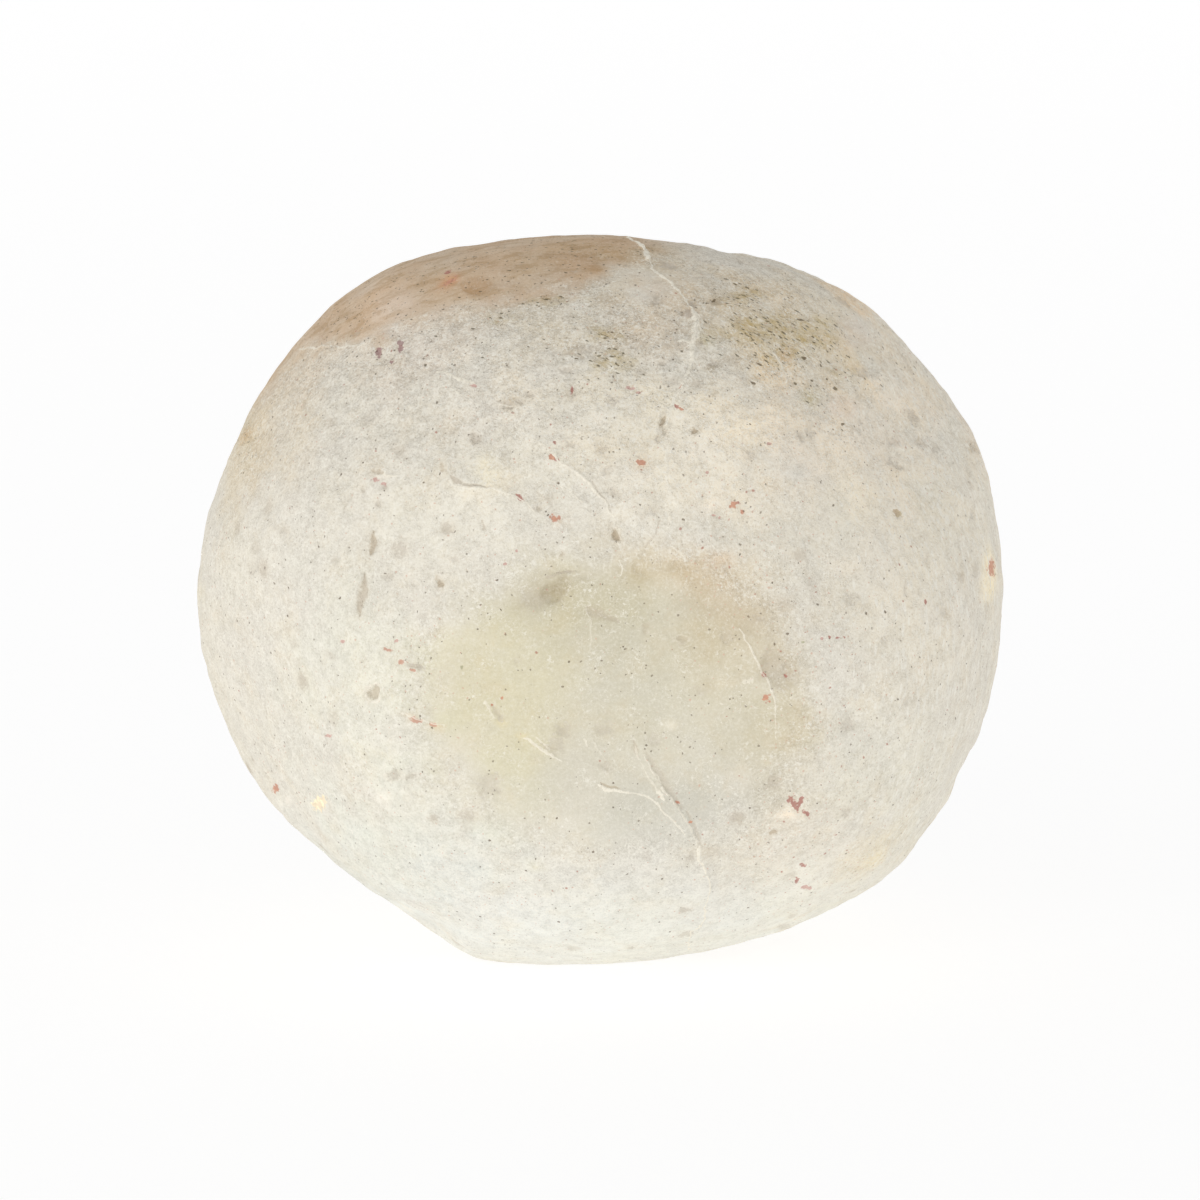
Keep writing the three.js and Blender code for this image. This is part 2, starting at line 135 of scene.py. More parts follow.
VEINS = [vein(*row) for row in [
    # the long one from the top, beaded where it is broad
    (0.24, 0.9, 1, (628, 238, 0.6), (637, 244, 0.7), (642, 248, 1.5), (644, 252, 0.9), (647, 256, 1.7),
     (650, 260, 0.8)),
    (0.18, 0.4, 1, (650, 260, 0.6), (652, 268), (658, 274, 0.8), (664, 278, 1.2), (671, 283, 0.8),
     (676, 289, 1.1), (683, 297), (687, 304, 1.5), (691, 310, 0.7)),
    (0.28, 0.9, 1, (691, 310, 0.7), (695, 315, 1.5), (698, 320, 0.9), (697, 325, 1.8), (694, 330, 1.1),
     (697, 335, 1.6), (693, 341, 0.8)),
    (0.18, 0.2, 0.8, (699, 316, 0.6), (703, 322, 1.2), (700, 330, 0.7)),
    (0.27, 0.45, 1, (693, 341), (692, 349, 1.4), (692, 357, 0.8), (690, 365, 1.2), (688, 373, 0.8),
     (685, 380, 1.2), (681, 388, 0.9), (675, 397), (671, 408, 0.9), (665, 424, 0.9)),
    (0.22, 0.2, 1, (677, 341, 0.7), (682, 339, 1.2), (688, 341), (692, 345, 0.7)),
    (0.14, 0.12, 0.7, (707, 299, 0.5), (702, 306), (704, 314, 0.6)),
    (0.2, 0.12, 0.8, (665, 430), (667, 444, 0.9), (667, 459), (668, 478, 0.9)),
    (0.2, 0.16, 0.9, (667, 482), (671, 492), (675, 503)),
    (0.18, 0.14, 0.8, (668, 484), (669, 496), (675, 504)),
    (0.18, 0.14, 0.7, (666, 503), (670, 512), (668, 528)),
    (0.15, 0.12, 0.8, (660, 434), (656, 441), (650, 449)),
    # the slanting ones left of the middle
    (0.17, 0.2, 1, (529, 436, 0.5), (548, 450, 0.8), (565, 465, 1.2), (575, 471, 0.8), (583, 477, 1.4),
     (590, 485), (596, 492, 1.2), (606, 503, 0.9), (613, 517, 0.7)),
    (0.11, 0.1, 0.6, (528, 474), (545, 478), (570, 490), (583, 503)),
    (0.15, 0.14, 0.9, (446, 479, 0.5), (455, 485), (464, 488, 1.4), (477, 489), (491, 489, 0.8)),
    (0.16, 0.14, 0.9, (491, 489), (502, 492, 1.3), (514, 496, 0.8), (525, 503), (535, 511, 0.5)),
    (0.24, 0.24, 1, (437, 373, 0.7), (446, 372), (455, 378, 0.8), (463, 380, 1.6), (470, 382, 1.1),
     (474, 383, 0.5)),
    (0.12, 0.1, 0.8, (449, 387, 0.6), (458, 392), (466, 400, 0.7), (480, 403, 0.5)),
    (0.12, 0.08, 0.7, (493, 406), (502, 404, 1.2), (512, 407, 0.5)),
    (0.12, 0.08, 0.6, (300, 350), (322, 347), (345, 347), (366, 344)),
    (0.12, 0.1, 0.6, (516, 425), (529, 436)),
    (0.14, 0.1, 0.9, (374, 475, 0.6), (385, 474, 1.2), (397, 477, 0.6)),
    (0.16, 0.12, 0.9, (893, 454, 0.5), (901, 449, 1.3), (909, 451, 0.7), (917, 446, 0.5)),
    # right of the worn face
    (0.12, 0.16, 0.6, (739, 627, 0.7), (746, 640, 0.9), (755, 656, 1.1), (761, 671), (768, 680, 1.2),
     (771, 689, 1.1), (774, 697, 1.3), (776, 708, 0.8), (775, 720, 0.6), (777, 744, 0.4)),
    # low on the front
    (0.2, 0.2, 0.8, (599, 784, 0.6), (606, 789, 1.3), (612, 791), (620, 791, 1.3), (629, 794, 0.6)),
    (0.13, 0.16, 0.55, (629, 794, 0.6), (636, 794, 0.8), (644, 796), (652, 800, 0.9), (657, 804, 1.4),
     (661, 810, 0.9), (667, 815), (675, 821, 1.2), (681, 828), (685, 836, 0.6)),
    (0.12, 0.14, 0.4, (633, 743, 0.6), (636, 752), (641, 763, 0.7), (646, 772), (652, 783, 1.2),
     (658, 791)),
    (0.13, 0.2, 0.6, (643, 755, 0.4), (650, 765), (657, 777, 0.8), (664, 788), (670, 797, 0.8), (677, 806),
     (684, 817, 1.2), (690, 828, 1.3), (695, 838, 1.4), (698, 844)),
    (0.24, 0.14, 0.75, (658, 791, 1.4), (662, 795, 1.3), (665, 801, 0.5)),
    (0.2, 0.18, 1, (701, 846, 0.7), (697, 853, 1.3), (699, 861), (705, 868, 0.8)),
    (0.15, 0.14, 0.9, (705, 868), (709, 880, 0.7), (710, 891), (705, 903, 0.7), (704, 914), (701, 924)),
    (0.15, 0.12, 0.9, (701, 924), (692, 930), (689, 937, 0.6), (689, 949)),
    (0.18, 0.26, 0.65, (524, 738, 0.6), (529, 740, 1.3), (536, 745), (542, 749, 1.3), (549, 753),
     (556, 757, 0.7), (562, 761, 0.5)),
    (0.12, 0.16, 0.5, (530, 736, 0.5), (537, 739), (544, 743, 1.2), (549, 749, 0.6)),
    (0.2, 0.24, 0.5, (485, 702, 1.2), (488, 707, 1.3), (491, 712), (495, 717, 0.6)),
    (0.1, 0.08, 0.3, (586, 607), (590, 622), (591, 640), (592, 660, 0.5)),
    (0.13, 0.12, 0.6, (619, 558, 0.6), (622, 566, 1.3), (621, 575, 0.5)),
    (0.15, 0.12, 0.5, (584, 739), (587, 747)),
    (0.12, 0.08, 0.6, (402, 714), (424, 722), (444, 726)),
    (0.13, 0.08, 0.6, (672, 545), (678, 551), (684, 560)),
    (0.1, 0.08, 0.25, (590, 736), (596, 748), (606, 760)),
    (0.11, 0.07, 0.4, (707, 540), (725, 560), (737, 588)),
    (0.12, 0.08, 0.8, (880, 372, 0.6), (890, 383), (894, 396, 0.6)),
    (0.13, 0.1, 0.8, (773, 352), (779, 362, 1.3), (785, 372, 0.7), (788, 384, 0.5)),
    (0.08, 0.05, 0.5, (722, 704), (724, 705)),
    (0.3, 0.08, 0.45, (744, 680), (748, 681), (752, 681)),
]]

LEDGES = [ledge(*row) for row in [
    (0.2, 1.6, (697, 843), (690, 828), (677, 806), (664, 788), (650, 765), (643, 753)),
    (0.06, 1.2, (633, 743), (641, 763), (652, 783), (658, 791)),
    (0.12, 1.5, (491, 488), (477, 487), (464, 484), (450, 477)),
    (0.1, 3, (310, 352), (365, 335), (430, 316), (480, 310), (520, 299), (560, 284), (600, 268)),
    (0.12, 1.8, (496, 278), (493, 290), (480, 297), (465, 294), (458, 284)),
    (0.22, 1.5, (578, 571), (566, 573), (556, 573), (547, 577), (543, 585)),
    (0.16, 2.5, (565, 575), (568, 588), (565, 602)),
]]

# ---- Marks on the front: spots. Each has a place, a half width and a half height, and a turn in degrees ----

PIT_DEEPNESS = 0.85  # pits go this share of their depth


def pit(x, y, half_wide, half_high, depth_mm, floor, turn=0, rim=0, tan=0):
    """A hollow. floor and tan are how fully its floor turns grey and tan, colours that are partly its own and
    partly painted shade, and rim is how pale its lip is, a painted highlight on a lip that rim also raises.
    """
    return {"at": (x, y), "half": (half_wide, half_high), "depth": PIT_DEEPNESS * depth_mm, "turn": turn,
            "floor": floor, "rim": rim, "tan": tan}


PITS = [pit(*row) for row in [
    (562, 554, 2.5, 3, 0.2, 0.5, 0, 0, 0.8), (642, 568, 9, 7, 0.25, 0.12, 6, 0, 0.9),
    (676, 566, 9, 6, 0.2, 0.1, 0, 0, 0.9), (682, 639, 7, 3.5, 0.25, 0.35, 0, 0.3, 0.5),
    (645, 630, 4, 6, 0.2, 0.3, 0, 0, 0.9), (538, 509, 3, 3, 0.25, 0.5, 0, 0.3, 0.6),
    (362, 489, 3, 4, 0.15, 0.3, 0, 0.4, 0.4), (457, 324, 5, 3, 0.15, 0.3, 0, 0, 0.5),
    (656, 296, 3.4, 3, 0.2, 0.5, 0, 0, 0.3), (713, 302, 8, 2.2, 0.25, 0.6, -8, 0, 0.6),
    (374, 693, 6.5, 7.5, 0.45, 0.6, 12, 0.9, 0.8), (440, 583, 3.6, 5.5, 0.4, 0.75, 20, 0.2, 0.9),
    (388, 576, 5, 3, 0.2, 0.4, 10, 0.1), (553, 590, 16, 13, 0.45, 0.06, 35, 0, 0.6),
    (545, 596, 24, 10, 0.4, 0.25, 12), (576, 577, 15, 5, 0.2, 0.2, 14),
    (616, 535, 3.4, 8, 0.5, 0.8, 24, 0.7, 0.9), (663, 421, 3.2, 7, 0.45, 0.85, -22, 0.6, 0.8),
    (664, 431, 2.2, 4.5, 0.35, 1, 20, 0.3, 1), (658, 437, 2, 4, 0.3, 0.8, -15, 0.2),
    (695, 431, 3.4, 3.2, 0.3, 0.9, 0, 0.7, 1), (777, 668, 16, 20, 0.35, 0.3, 10),
    (787, 672, 5, 9, 0.2, 0.4, 10), (898, 465, 6, 3.6, 0.35, 0.4, -48, 0.2),
    (890, 461, 4, 3, 0.25, 0.5, 0, 0.2), (894, 440, 7, 5, 0.2, 0.2, 20, 0.2), (921, 440, 6, 5, 0.2, 0.35),
    (810, 430, 5, 8, 0.2, 0.3, 12), (475, 438, 6, 5, 0.35, 0.6, -30, 0.2),
    (508, 405, 7, 4, 0.35, 0.7, 10, 0.2), (520, 402, 4, 3, 0.2, 0.5, 0, 0.2),
    (571, 443, 6, 4, 0.25, 0.5, 0, 0.2), (601, 450, 6, 4, 0.25, 0.45, 0, 0.1),
    (608, 470, 7, 4, 0.25, 0.4, 50), (650, 512, 6, 4, 0.15, 0.3), (728, 638, 7, 7, 0.2, 0.3),
    (759, 618, 5, 4, 0.2, 0.4), (850, 725, 8, 6, 0.25, 0.4), (562, 730, 8, 6, 0.25, 0.4, 30),
    (604, 730, 9, 7, 0.2, 0.3), (606, 766, 6, 5, 0.25, 0.3), (394, 775, 7, 4, 0.35, 0.6, 10, 0.4),
    (411, 777, 6, 3, 0.25, 0.5, 8, 0.3), (490, 785, 10, 10, 0.25, 0.4), (501, 718, 3.5, 4, 0.25, 0.5, 20),
    (555, 745, 8, 7, 0.2, 0.4, 40), (414, 666, 9, 2.2, 0.3, 0.7, -12, 0.2), (466, 826, 6, 8, 0.15, 0.3),
    (517, 660, 4, 4, 0.12, 0.25), (692, 857, 5, 5, 0.2, 0.4), (851, 600, 6, 6, 0.15, 0.3),
    (714, 362, 5, 3.5, 0.25, 0.5), (861, 372, 7, 4, 0.2, 0.4, -30), (801, 436, 3, 6, 0.2, 0.5, 15, 0.2),
    (692, 305, 5, 2.5, 0.3, 0.8, -20), (682, 312, 4, 2.5, 0.3, 0.7), (655, 302, 5, 3, 0.2, 0.5),
    (700, 341, 3, 3, 0.2, 0.5), (588, 349, 5, 3, 0.25, 0.6), (565, 370, 6, 3, 0.25, 0.6, 0, 0.1),
    (640, 372, 4, 2.5, 0.2, 0.6), (662, 364, 4, 2, 0.25, 0.6), (384, 487, 3, 3, 0.2, 0.5),
    (378, 504, 3, 3.5, 0.25, 0.6, 10, 0.2), (530, 394, 4, 2.5, 0.2, 0.5), (551, 500, 4, 6, 0.15, 0.3),
    (536, 507, 3, 3, 0.2, 0.5), (614, 492, 3, 6, 0.2, 0.4, 40), (284, 530, 4, 5, 0.15, 0.3),
    (256, 547, 4, 6, 0.2, 0.35), (252, 570, 4, 7, 0.15, 0.3, -15), (330, 655, 6, 3, 0.2, 0.4, -40),
    (295, 645, 3, 3, 0.15, 0.4), (935, 448, 4, 5, 0.2, 0.4), (973, 447, 3, 6, 0.25, 0.4, 10),
    (972, 513, 2.5, 6, 0.25, 0.4, 10), (905, 590, 2.5, 6, 0.2, 0.3), (926, 560, 3, 5, 0.15, 0.3),
    (944, 610, 2.5, 6, 0.2, 0.3), (884, 640, 3, 5, 0.15, 0.3), (906, 700, 4, 5, 0.15, 0.25),
    (784, 927, 6, 3, 0.2, 0.4), (845, 812, 4, 4, 0.2, 0.35), (700, 690, 6, 5, 0.12, 0.25),
    (655, 740, 7, 6, 0.12, 0.25), (455, 560, 4, 3, 0.15, 0.4), (335, 560, 4, 4, 0.12, 0.25),
    (452, 430, 4, 3, 0.15, 0.3),
]]


def specks(*groups):
    """Minerals and soft spots, a kind at a time."""
    return [{"at": (x, y), "half": (half_wide, half_high), "kind": kind, "turn": turn[0] if turn else 0}
            for kind, *rows in groups for x, y, half_wide, half_high, *turn in rows]


SPECKS = specks(
    ("ochre", (897, 513.5, 3.6, 4), (896.6, 513, 3.6, 3.6, 50), (897.3, 514, 3.4, 3.6, 100)),
    # dark gashes of the olive patch
    ("pore", (804, 357, 3.74, 1.3, -35), (759, 364, 4.25, 1.15, -30), (753, 383, 3.06, 1.08, -20),
     (796, 382, 2.21, 1.15, -50), (812, 380, 1.7, 0.936, -40), (836, 388, 3.06, 1.37, -25),
     (827, 379, 2.04, 0.864, -30), (770, 331, 3.06, 0.72, -25), (801, 319, 3.4, 0.72, -12),
     (768, 321, 2.21, 0.864, -10), (752, 341, 1.7, 0.936), (783, 352, 1.87, 0.864, -40),
     (742, 334, 1.7, 0.792, -20), (814, 342, 1.87, 0.72, -40), (821, 365, 1.7, 0.72, -60),
     (705, 303, 3.4, 0.792, -8), (714, 300, 2.04, 0.72, 10), (735, 284, 2.55, 0.648, -20),
     (747, 288, 2.21, 0.648, -20), (726, 279, 2.55, 0.648, -14), (603, 335, 2.89, 0.72, -20),
     (612, 332, 1.87, 0.648, -20), (607, 358, 2.38, 0.72, -30), (617, 364, 2.04, 0.72, -30),
     (545, 299, 2.89, 0.648, -14), (577, 359, 3.06, 0.72, -12), (500, 317, 2.38, 0.72, 10),
     (843, 424, 1.7, 1.01), (423, 482, 1.36, 0.936), (971, 444, 1.36, 0.864)),
    ("purple", (378, 351, 2.6, 5, -15), (400, 345, 2.8, 4.6, -10), (391, 361, 2.6, 2.2)),
    ("rose", (376, 480, 4, 2.8, -20), (384, 484, 3, 2, -20)), ("wine", (519, 497, 6, 2.6, -42)),
    ("brick", (552, 457, 4, 2.8, -20)),
    ("wine", (557, 460, 3.4, 2, -40), (555, 443, 1.6, 1.6), (572, 390, 1.5, 4)),
    ("brick", (555, 518, 5.5, 3.6, -15), (641, 463, 4.8, 2.8, -10)), ("wine", (677, 406, 3, 2.4, -30)),
    ("brick", (681, 409, 2.6, 1.6)), ("coral", (682, 386, 1.1, 5, -40)), ("brick", (734, 505, 4, 3.6, 30)),
    ("wine", (739, 503, 2, 2)), ("brick", (743, 512, 2, 2)), ("rose", (769, 444, 3, 1.6)),
    ("brick", (992, 567, 3.8, 9.4, 4)), ("wine", (925, 602, 1.6, 3.2)),
    ("brick", (765, 697, 3.6, 3.2, 30), (769, 701, 2.6, 2, -30)),
    ("wine", (765, 675, 3.4, 1.9, -40), (785, 676, 2.4, 1.5, -30), (792, 800, 4, 4, 20),
     (796, 806, 4.5, 3, -40), (801, 801, 2, 5.5, -8), (806, 813, 5.5, 2.8, -42), (803, 865, 3, 1.6),
     (796, 880, 2.4, 3.4)),
    ("rose", (806, 887, 6, 2.2)), ("brick", (677, 802, 2.6, 1.3, -35)), ("coral", (660, 796, 2.2, 1, 30)),
    ("brick", (690, 822, 2, 1.6), (276, 789, 2.8, 4.6, 10)), ("amber", (320, 803, 6.5, 8, 15)),
    ("rose", (328, 736, 3.5, 1.8)),
    ("wine", (830, 637, 1.8, 1.8), (838, 638, 1.8, 1.6), (845, 637, 1.4, 1.4)),
    ("rose", (822, 639, 2, 1.4)), ("olive spot", (803, 642, 2, 1.4)), ("wine", (448, 272, 4, 2, 25)),
    ("coral", (452, 280, 5, 2.2, 35), (446, 284, 3, 1.6, 20)), ("rose", (473, 385, 4, 2, -20)),
    ("coral", (416, 720, 7, 2.4, -14), (432, 725, 5, 2, -8), (400, 662, 4, 2.2), (388, 650, 5, 1.6, -20),
     (412, 670, 3.4, 1.6)),
    ("rose", (396, 641, 2, 1.6), (342, 642, 2.2, 1.8), (630, 388, 5, 1.6, -10), (638, 393, 2.4, 1.4),
     (707, 472, 2, 1.6), (714, 515, 2.4, 1.4), (720, 517, 1.6, 1.4)),
    ("brick", (502, 698, 1.4, 1.4), (492, 705, 1.2, 1.2)),
    ("rose", (548, 590, 1.4, 1.2), (505, 564, 2, 1.6), (516, 551, 1.8, 1.6)),
    ("olive spot", (462, 668, 1.8, 2.6)),
)

# Small pale crumbs, yellow grains and soft coloured spots of the rind.
CRUMBS = specks(
    ("cream", (283, 801, 8, 6), (383, 798, 9, 7), (786, 814, 16, 10, 10), (785, 813, 13, 8, 10),
     (883, 400, 12, 7, -20), (875, 384, 8, 8, 30), (820, 470, 8, 4)),
    ("butter", (487, 470, 12, 16), (536, 865, 8, 7), (990, 566, 9, 18), (990, 590, 7, 10),
     (765, 762, 3, 3)),
    ("cream", (380, 476, 9, 4, -8)), ("butter", (501, 722, 7, 4), (522, 735, 5, 4)),
    ("olive", (706, 338, 8, 6), (809, 398, 9, 8)),
    ("tan", (713, 366, 7, 5), (752, 382, 6, 6), (512, 400, 6, 4), (973, 448, 6, 4)),
    ("cream", (690, 455, 8, 6), (630, 330, 12, 4), (600, 420, 9, 5), (466, 356, 10, 7), (776, 300, 12, 5),
     (727, 682, 7, 4), (672, 725, 10, 5)),
    ("peach", (410, 716, 12, 5, -12), (437, 728, 10, 5, -10), (560, 520, 10, 7), (641, 466, 11, 8),
     (724, 560, 16, 10)),
    ("cream", (706, 505, 14, 10)), ("peach", (450, 282, 18, 8, 25)),
    ("cream", (250, 860, 6, 4), (404, 908, 12, 6)), ("butter", (197, 592, 6, 9)),
    ("peach", (845, 292, 12, 4, -35)), ("butter", (876, 860, 16, 8, 35)), ("cream", (900, 405, 7, 6)),
)

# What a kind of mineral or spot does to the rind: the colour it turns to, and how fully it does so.
MINERALS = {
    "purple": ((0.30, 0.13, 0.14), 0.7),
    "wine": ((0.45, 0.17, 0.14), 0.8),
    "brick": ((0.60, 0.25, 0.16), 0.8),
    "rose": ((0.62, 0.33, 0.29), 0.7),
    "coral": ((0.62, 0.30, 0.21), 0.75),
    "amber": ((0.97, 0.82, 0.58), 0.85),
    "pore": ((0.19, 0.14, 0.08), 0.85),
    "ochre": ((0.58, 0.45, 0.30), 0.85),
    "olive spot": ((0.36, 0.34, 0.2), 0.7),
    "cream": ((0.97, 0.90, 0.78), 0.85),
    "butter": ((0.93, 0.84, 0.62), 0.6),
    "peach": ((0.85, 0.68, 0.50), 0.5),
    "olive": ((0.55, 0.50, 0.28), 0.5),
    "tan": ((0.52, 0.42, 0.27), 0.5),
}
SOFT_SPOTS = ("cream", "butter", "peach", "olive", "tan")


def tint_patch(x, y, half_wide, half_high, colour, turn=0, soft=0.8, ragged=0.4):
    """A broad soft patch that multiplies the rind's colour. soft is the share of it that fades out."""
    return {"at": (x, y), "half": (half_wide, half_high), "colour": colour, "turn": turn,
            "soft": soft, "ragged": ragged}


STAINS_AND_PAINTED_LIGHT_AND_SHADE = [tint_patch(*row) for row in [
    # the worn face: yellow on its left, grey in the middle, peach along its upper right, blue-grey below
    (606, 700, 212, 166, (0.885, 0.885, 0.845), 0, 0.4, 0.1),
    (610, 670, 160, 120, (0.97, 0.965, 0.935), 0, 0.6, 0.1),
    (500, 690, 95, 120, (1.035, 1.025, 0.935), 8, 0.75, 0.25),
    (455, 678, 60, 70, (0.97, 0.96, 0.925), 10, 0.85, 0.25),
    (520, 790, 70, 60, (1, 1, 0.945), -20, 0.8, 0.25),
    (590, 600, 125, 62, (0.89, 0.875, 0.8), 4, 0.85, 0.25),
    (665, 566, 90, 38, (0.95, 0.89, 0.8), -8, 0.9, 0.35),
    (715, 585, 75, 36, (0.96, 0.92, 0.88), -34, 0.9, 0.35),
    (730, 628, 100, 80, (0.91, 0.86, 0.775), 25, 0.95, 0.25),
    (800, 735, 40, 90, (0.98, 0.965, 0.94), 0, 0.95, 0.35),
    (774, 730, 60, 130, (0.885, 0.86, 0.785), 0, 0.9, 0.25),
    (675, 815, 110, 50, (0.895, 0.91, 0.925), 6, 0.75, 0.2),
    (648, 665, 70, 90, (0.95, 0.955, 0.955), 0, 0.9, 0.25),
    # painted shade: the stains at (543, 590), (561, 584), (547, 592), (532, 602) and (777, 669) grey the
    # dents there, as do (562, 731) and (602, 730) below
    (543, 590, 40, 24, (0.935, 0.915, 0.885), 12, 0.9, 0.3),
    (561, 584, 8, 11, (0.9, 0.88, 0.85), -30, 0.5, 0.6),
    (547, 592, 14, 8, (0.9, 0.875, 0.84), 24, 0.8, 0.6), (532, 602, 18, 5, (0.91, 0.89, 0.86), 16),
    (777, 669, 23, 27, (0.89, 0.875, 0.865), 10, 0.7, 0.35),
    (603, 616, 18, 8, (0.95, 0.94, 0.92), -20, 0.7, 0.3), (562, 731, 10, 8, (0.93, 0.92, 0.9)),
    (602, 730, 14, 8, (0.94, 0.93, 0.92)),
    # olive and ochre patches above
    (785, 335, 110, 75, (1.03, 0.965, 0.87), -10, 0.85),
    (787, 355, 18, 11, (0.96, 0.86, 0.76), -30, 0.8, 0.5),
    (778, 425, 80, 56, (1.13, 1.09, 1.035), 0, 0.85, 0.3),
    (555, 330, 90, 44, (0.97, 0.935, 0.88), 4, 0.8, 0.6),
    (572, 349, 18, 12, (0.93, 0.89, 0.84), 0, 0.8, 0.5),
    (645, 325, 70, 50, (0.945, 0.88, 0.81), 0, 0.8, 0.5),
    (715, 295, 110, 44, (0.98, 0.94, 0.89), 8, 0.8, 0.5),
    (725, 310, 60, 50, (0.98, 0.96, 0.92), 0, 0.9, 0.5), (780, 374, 80, 26, (1.05, 1.03, 1), 0, 0.9, 0.5),
    (370, 335, 60, 22, (1.05, 1.055, 1.07), -12, 0.8, 0.3),
    (855, 365, 70, 60, (0.955, 0.95, 0.935), 30, 0.9, 0.3), (645, 290, 34, 20, (0.98, 0.97, 0.98)),
    (690, 314, 10, 5, (0.88, 0.84, 0.86), 0, 0.7), (476, 286, 18, 11, (0.9, 0.83, 0.755), 4, 0.3, 0.12),
    (449, 282, 17, 8, (1, 0.82, 0.72), 32, 0.6, 0.3), (850, 298, 44, 12, (1.1, 0.97, 0.82), -36, 0.8, 0.3),
    (900, 360, 90, 24, (1.04, 1, 0.955), -48, 0.8, 0.3), (975, 430, 20, 60, (1.06, 1, 0.94), 14, 0.8, 0.3),
    (988, 582, 10, 30, (1.17, 1.13, 1.04), -6, 0.4, 0.2),
    (244, 455, 30, 100, (0.96, 0.91, 0.83), -14, 0.8, 0.5), (285, 420, 55, 100, (0.985, 0.945, 0.89), -24),
    (300, 385, 40, 50, (0.985, 0.955, 0.92), -40), (244, 436, 8, 12, (0.95, 0.84, 0.7), -24, 0.7, 0.3),
    # pink, grey and lilac clouds, with painted light on the lower part of the stone and painted shade in some
    # dents
    (400, 350, 120, 50, (0.985, 0.945, 0.925), 14), (480, 410, 120, 50, (1.03, 1.02, 1.02)),
    (455, 520, 125, 85, (1.085, 1.09, 1.075), 0, 0.9, 0.3),
    (846, 508, 40, 50, (1.06, 1.07, 1.05), 0, 0.9, 0.3), (620, 440, 190, 90, (1.055, 1.055, 1.04)),
    (735, 500, 60, 36, (1.06, 1.04, 1.01)), (560, 392, 120, 24, (1.05, 1.03, 0.99)),
    (690, 450, 150, 90, (1.08, 1.06, 1.035)), (850, 440, 100, 120, (1.08, 1.04, 1.01), 25),
    (855, 332, 26, 17, (0.98, 0.975, 1.02), -30, 0.7), (842, 407, 18, 13, (0.955, 0.94, 0.965), -10, 0.5),
    # painted shade: these grey the dents at (895, 442) and (925, 446)
    (895, 442, 12, 7, (0.95, 0.93, 0.94)), (925, 446, 9, 10, (0.93, 0.92, 0.92)),
    # painted light: these two make the lower part of the stone brighter, as light from below would, and (835,
    # 880) and (390, 850) below do the same
    (560, 900, 330, 90, (1, 1.02, 1.05), 0, 0.9, 0.3),
    (590, 945, 380, 90, (1.11, 1.155, 1.195), 0, 0.95, 0.1),
    (386, 302, 44, 26, (1.14, 1.14, 1.18), 30, 0.8, 0.3),
    (835, 880, 140, 70, (1.1, 1.125, 1.13), 24, 0.9, 0.3), (330, 620, 110, 200, (1, 1.005, 1.01), 0, 0.9),
    (365, 700, 100, 150, (1.035, 1.06, 1.045), 0, 0.9), (390, 850, 160, 80, (1, 1.045, 1.07), 0, 0.9),
    (870, 850, 50, 26, (1, 0.96, 0.89), 40, 0.7), (905, 500, 120, 190, (1.07, 1.06, 1.03), 0, 0.9, 0.3),
    (920, 620, 90, 190, (1.055, 1.045, 1.035)), (890, 760, 100, 90, (1.03, 1.045, 1.04), 0, 0.9, 0.3),
    (800, 850, 110, 60, (1, 0.98, 0.96), 10), (575, 256, 100, 18, (0.93, 0.88, 0.81), 4, 0.8, 0.5),
    (590, 288, 130, 26, (0.96, 0.93, 0.885), 4, 0.9, 0.5), (645, 258, 70, 16, (0.93, 0.88, 0.8), -4, 0.7),
]]

WORN_FACE = {"at": (610, 702), "half": (185, 148), "turn": 0}
# Zones where the rind is full of pores, has rust-coloured grains, is stained olive, or is smooth. Each has
# a place, half sizes and a share.
POROUS = [(785, 345, 80, 55, 1), (610, 345, 60, 35, 0.75), (545, 325, 90, 45, 0.6),
          (560, 262, 110, 20, 0.85), (730, 285, 60, 24, 0.8), (700, 430, 60, 60, 0.5),
          (790, 430, 70, 50, 0.6), (850, 420, 40, 40, 0.75)]
RUSTY = [(740, 560, 90, 60, 0.9), (820, 690, 60, 140, 1), (800, 850, 120, 70, 1), (735, 490, 60, 40, 1),
         (880, 500, 60, 60, 0.4), (410, 660, 60, 70, 0.6), (560, 470, 60, 50, 0.5)]
OLIVE = [(760, 328, 52, 24, 1), (812, 335, 36, 26, 1), (788, 350, 40, 24, 0.8), (742, 298, 38, 14, 0.8),
         (712, 335, 26, 15, 0.6), (812, 394, 18, 15, 0.7), (872, 382, 28, 12, 0.4), (842, 368, 28, 20, 0.6),
         (752, 374, 30, 18, 0.45), (552, 300, 50, 9, 0.8), (500, 317, 24, 9, 0.7), (606, 334, 30, 14, 0.8),
         (616, 360, 34, 18, 0.8), (580, 246, 50, 7, 0.6), (655, 250, 36, 8, 0.6), (245, 436, 12, 64, 0.5)]
SMOOTH = [(645, 285, 46, 26, 0.8), (860, 335, 60, 50, 0.6), (905, 380, 30, 50, 0.5), (855, 410, 22, 14, 0.6)]
STREAKY_FROM = (830, 930)  # the steps from the left over which the upright streaks of the right side begin
POROUS_FROM = (0.06, 0.085)  # the heights over which the upper rind turns porous

# The smooth brown skin of the upper left runs down to this line.
SKIN_EDGE = [(252, 405), (280, 374), (306, 355), (340, 342), (365, 335), (400, 327), (430, 319), (470, 310),
             (520, 299), (560, 288), (600, 272), (645, 253), (700, 249)]
SKIN_COLOUR = (0.81, 0.645, 0.51)
SKIN_FADE = 18  # steps over which its edge fades
SKIN_ENDS = (735, 625)  # and the steps from the left over which it ends

# ---- Marks on the rest of the stone: places drawn from a seed ----

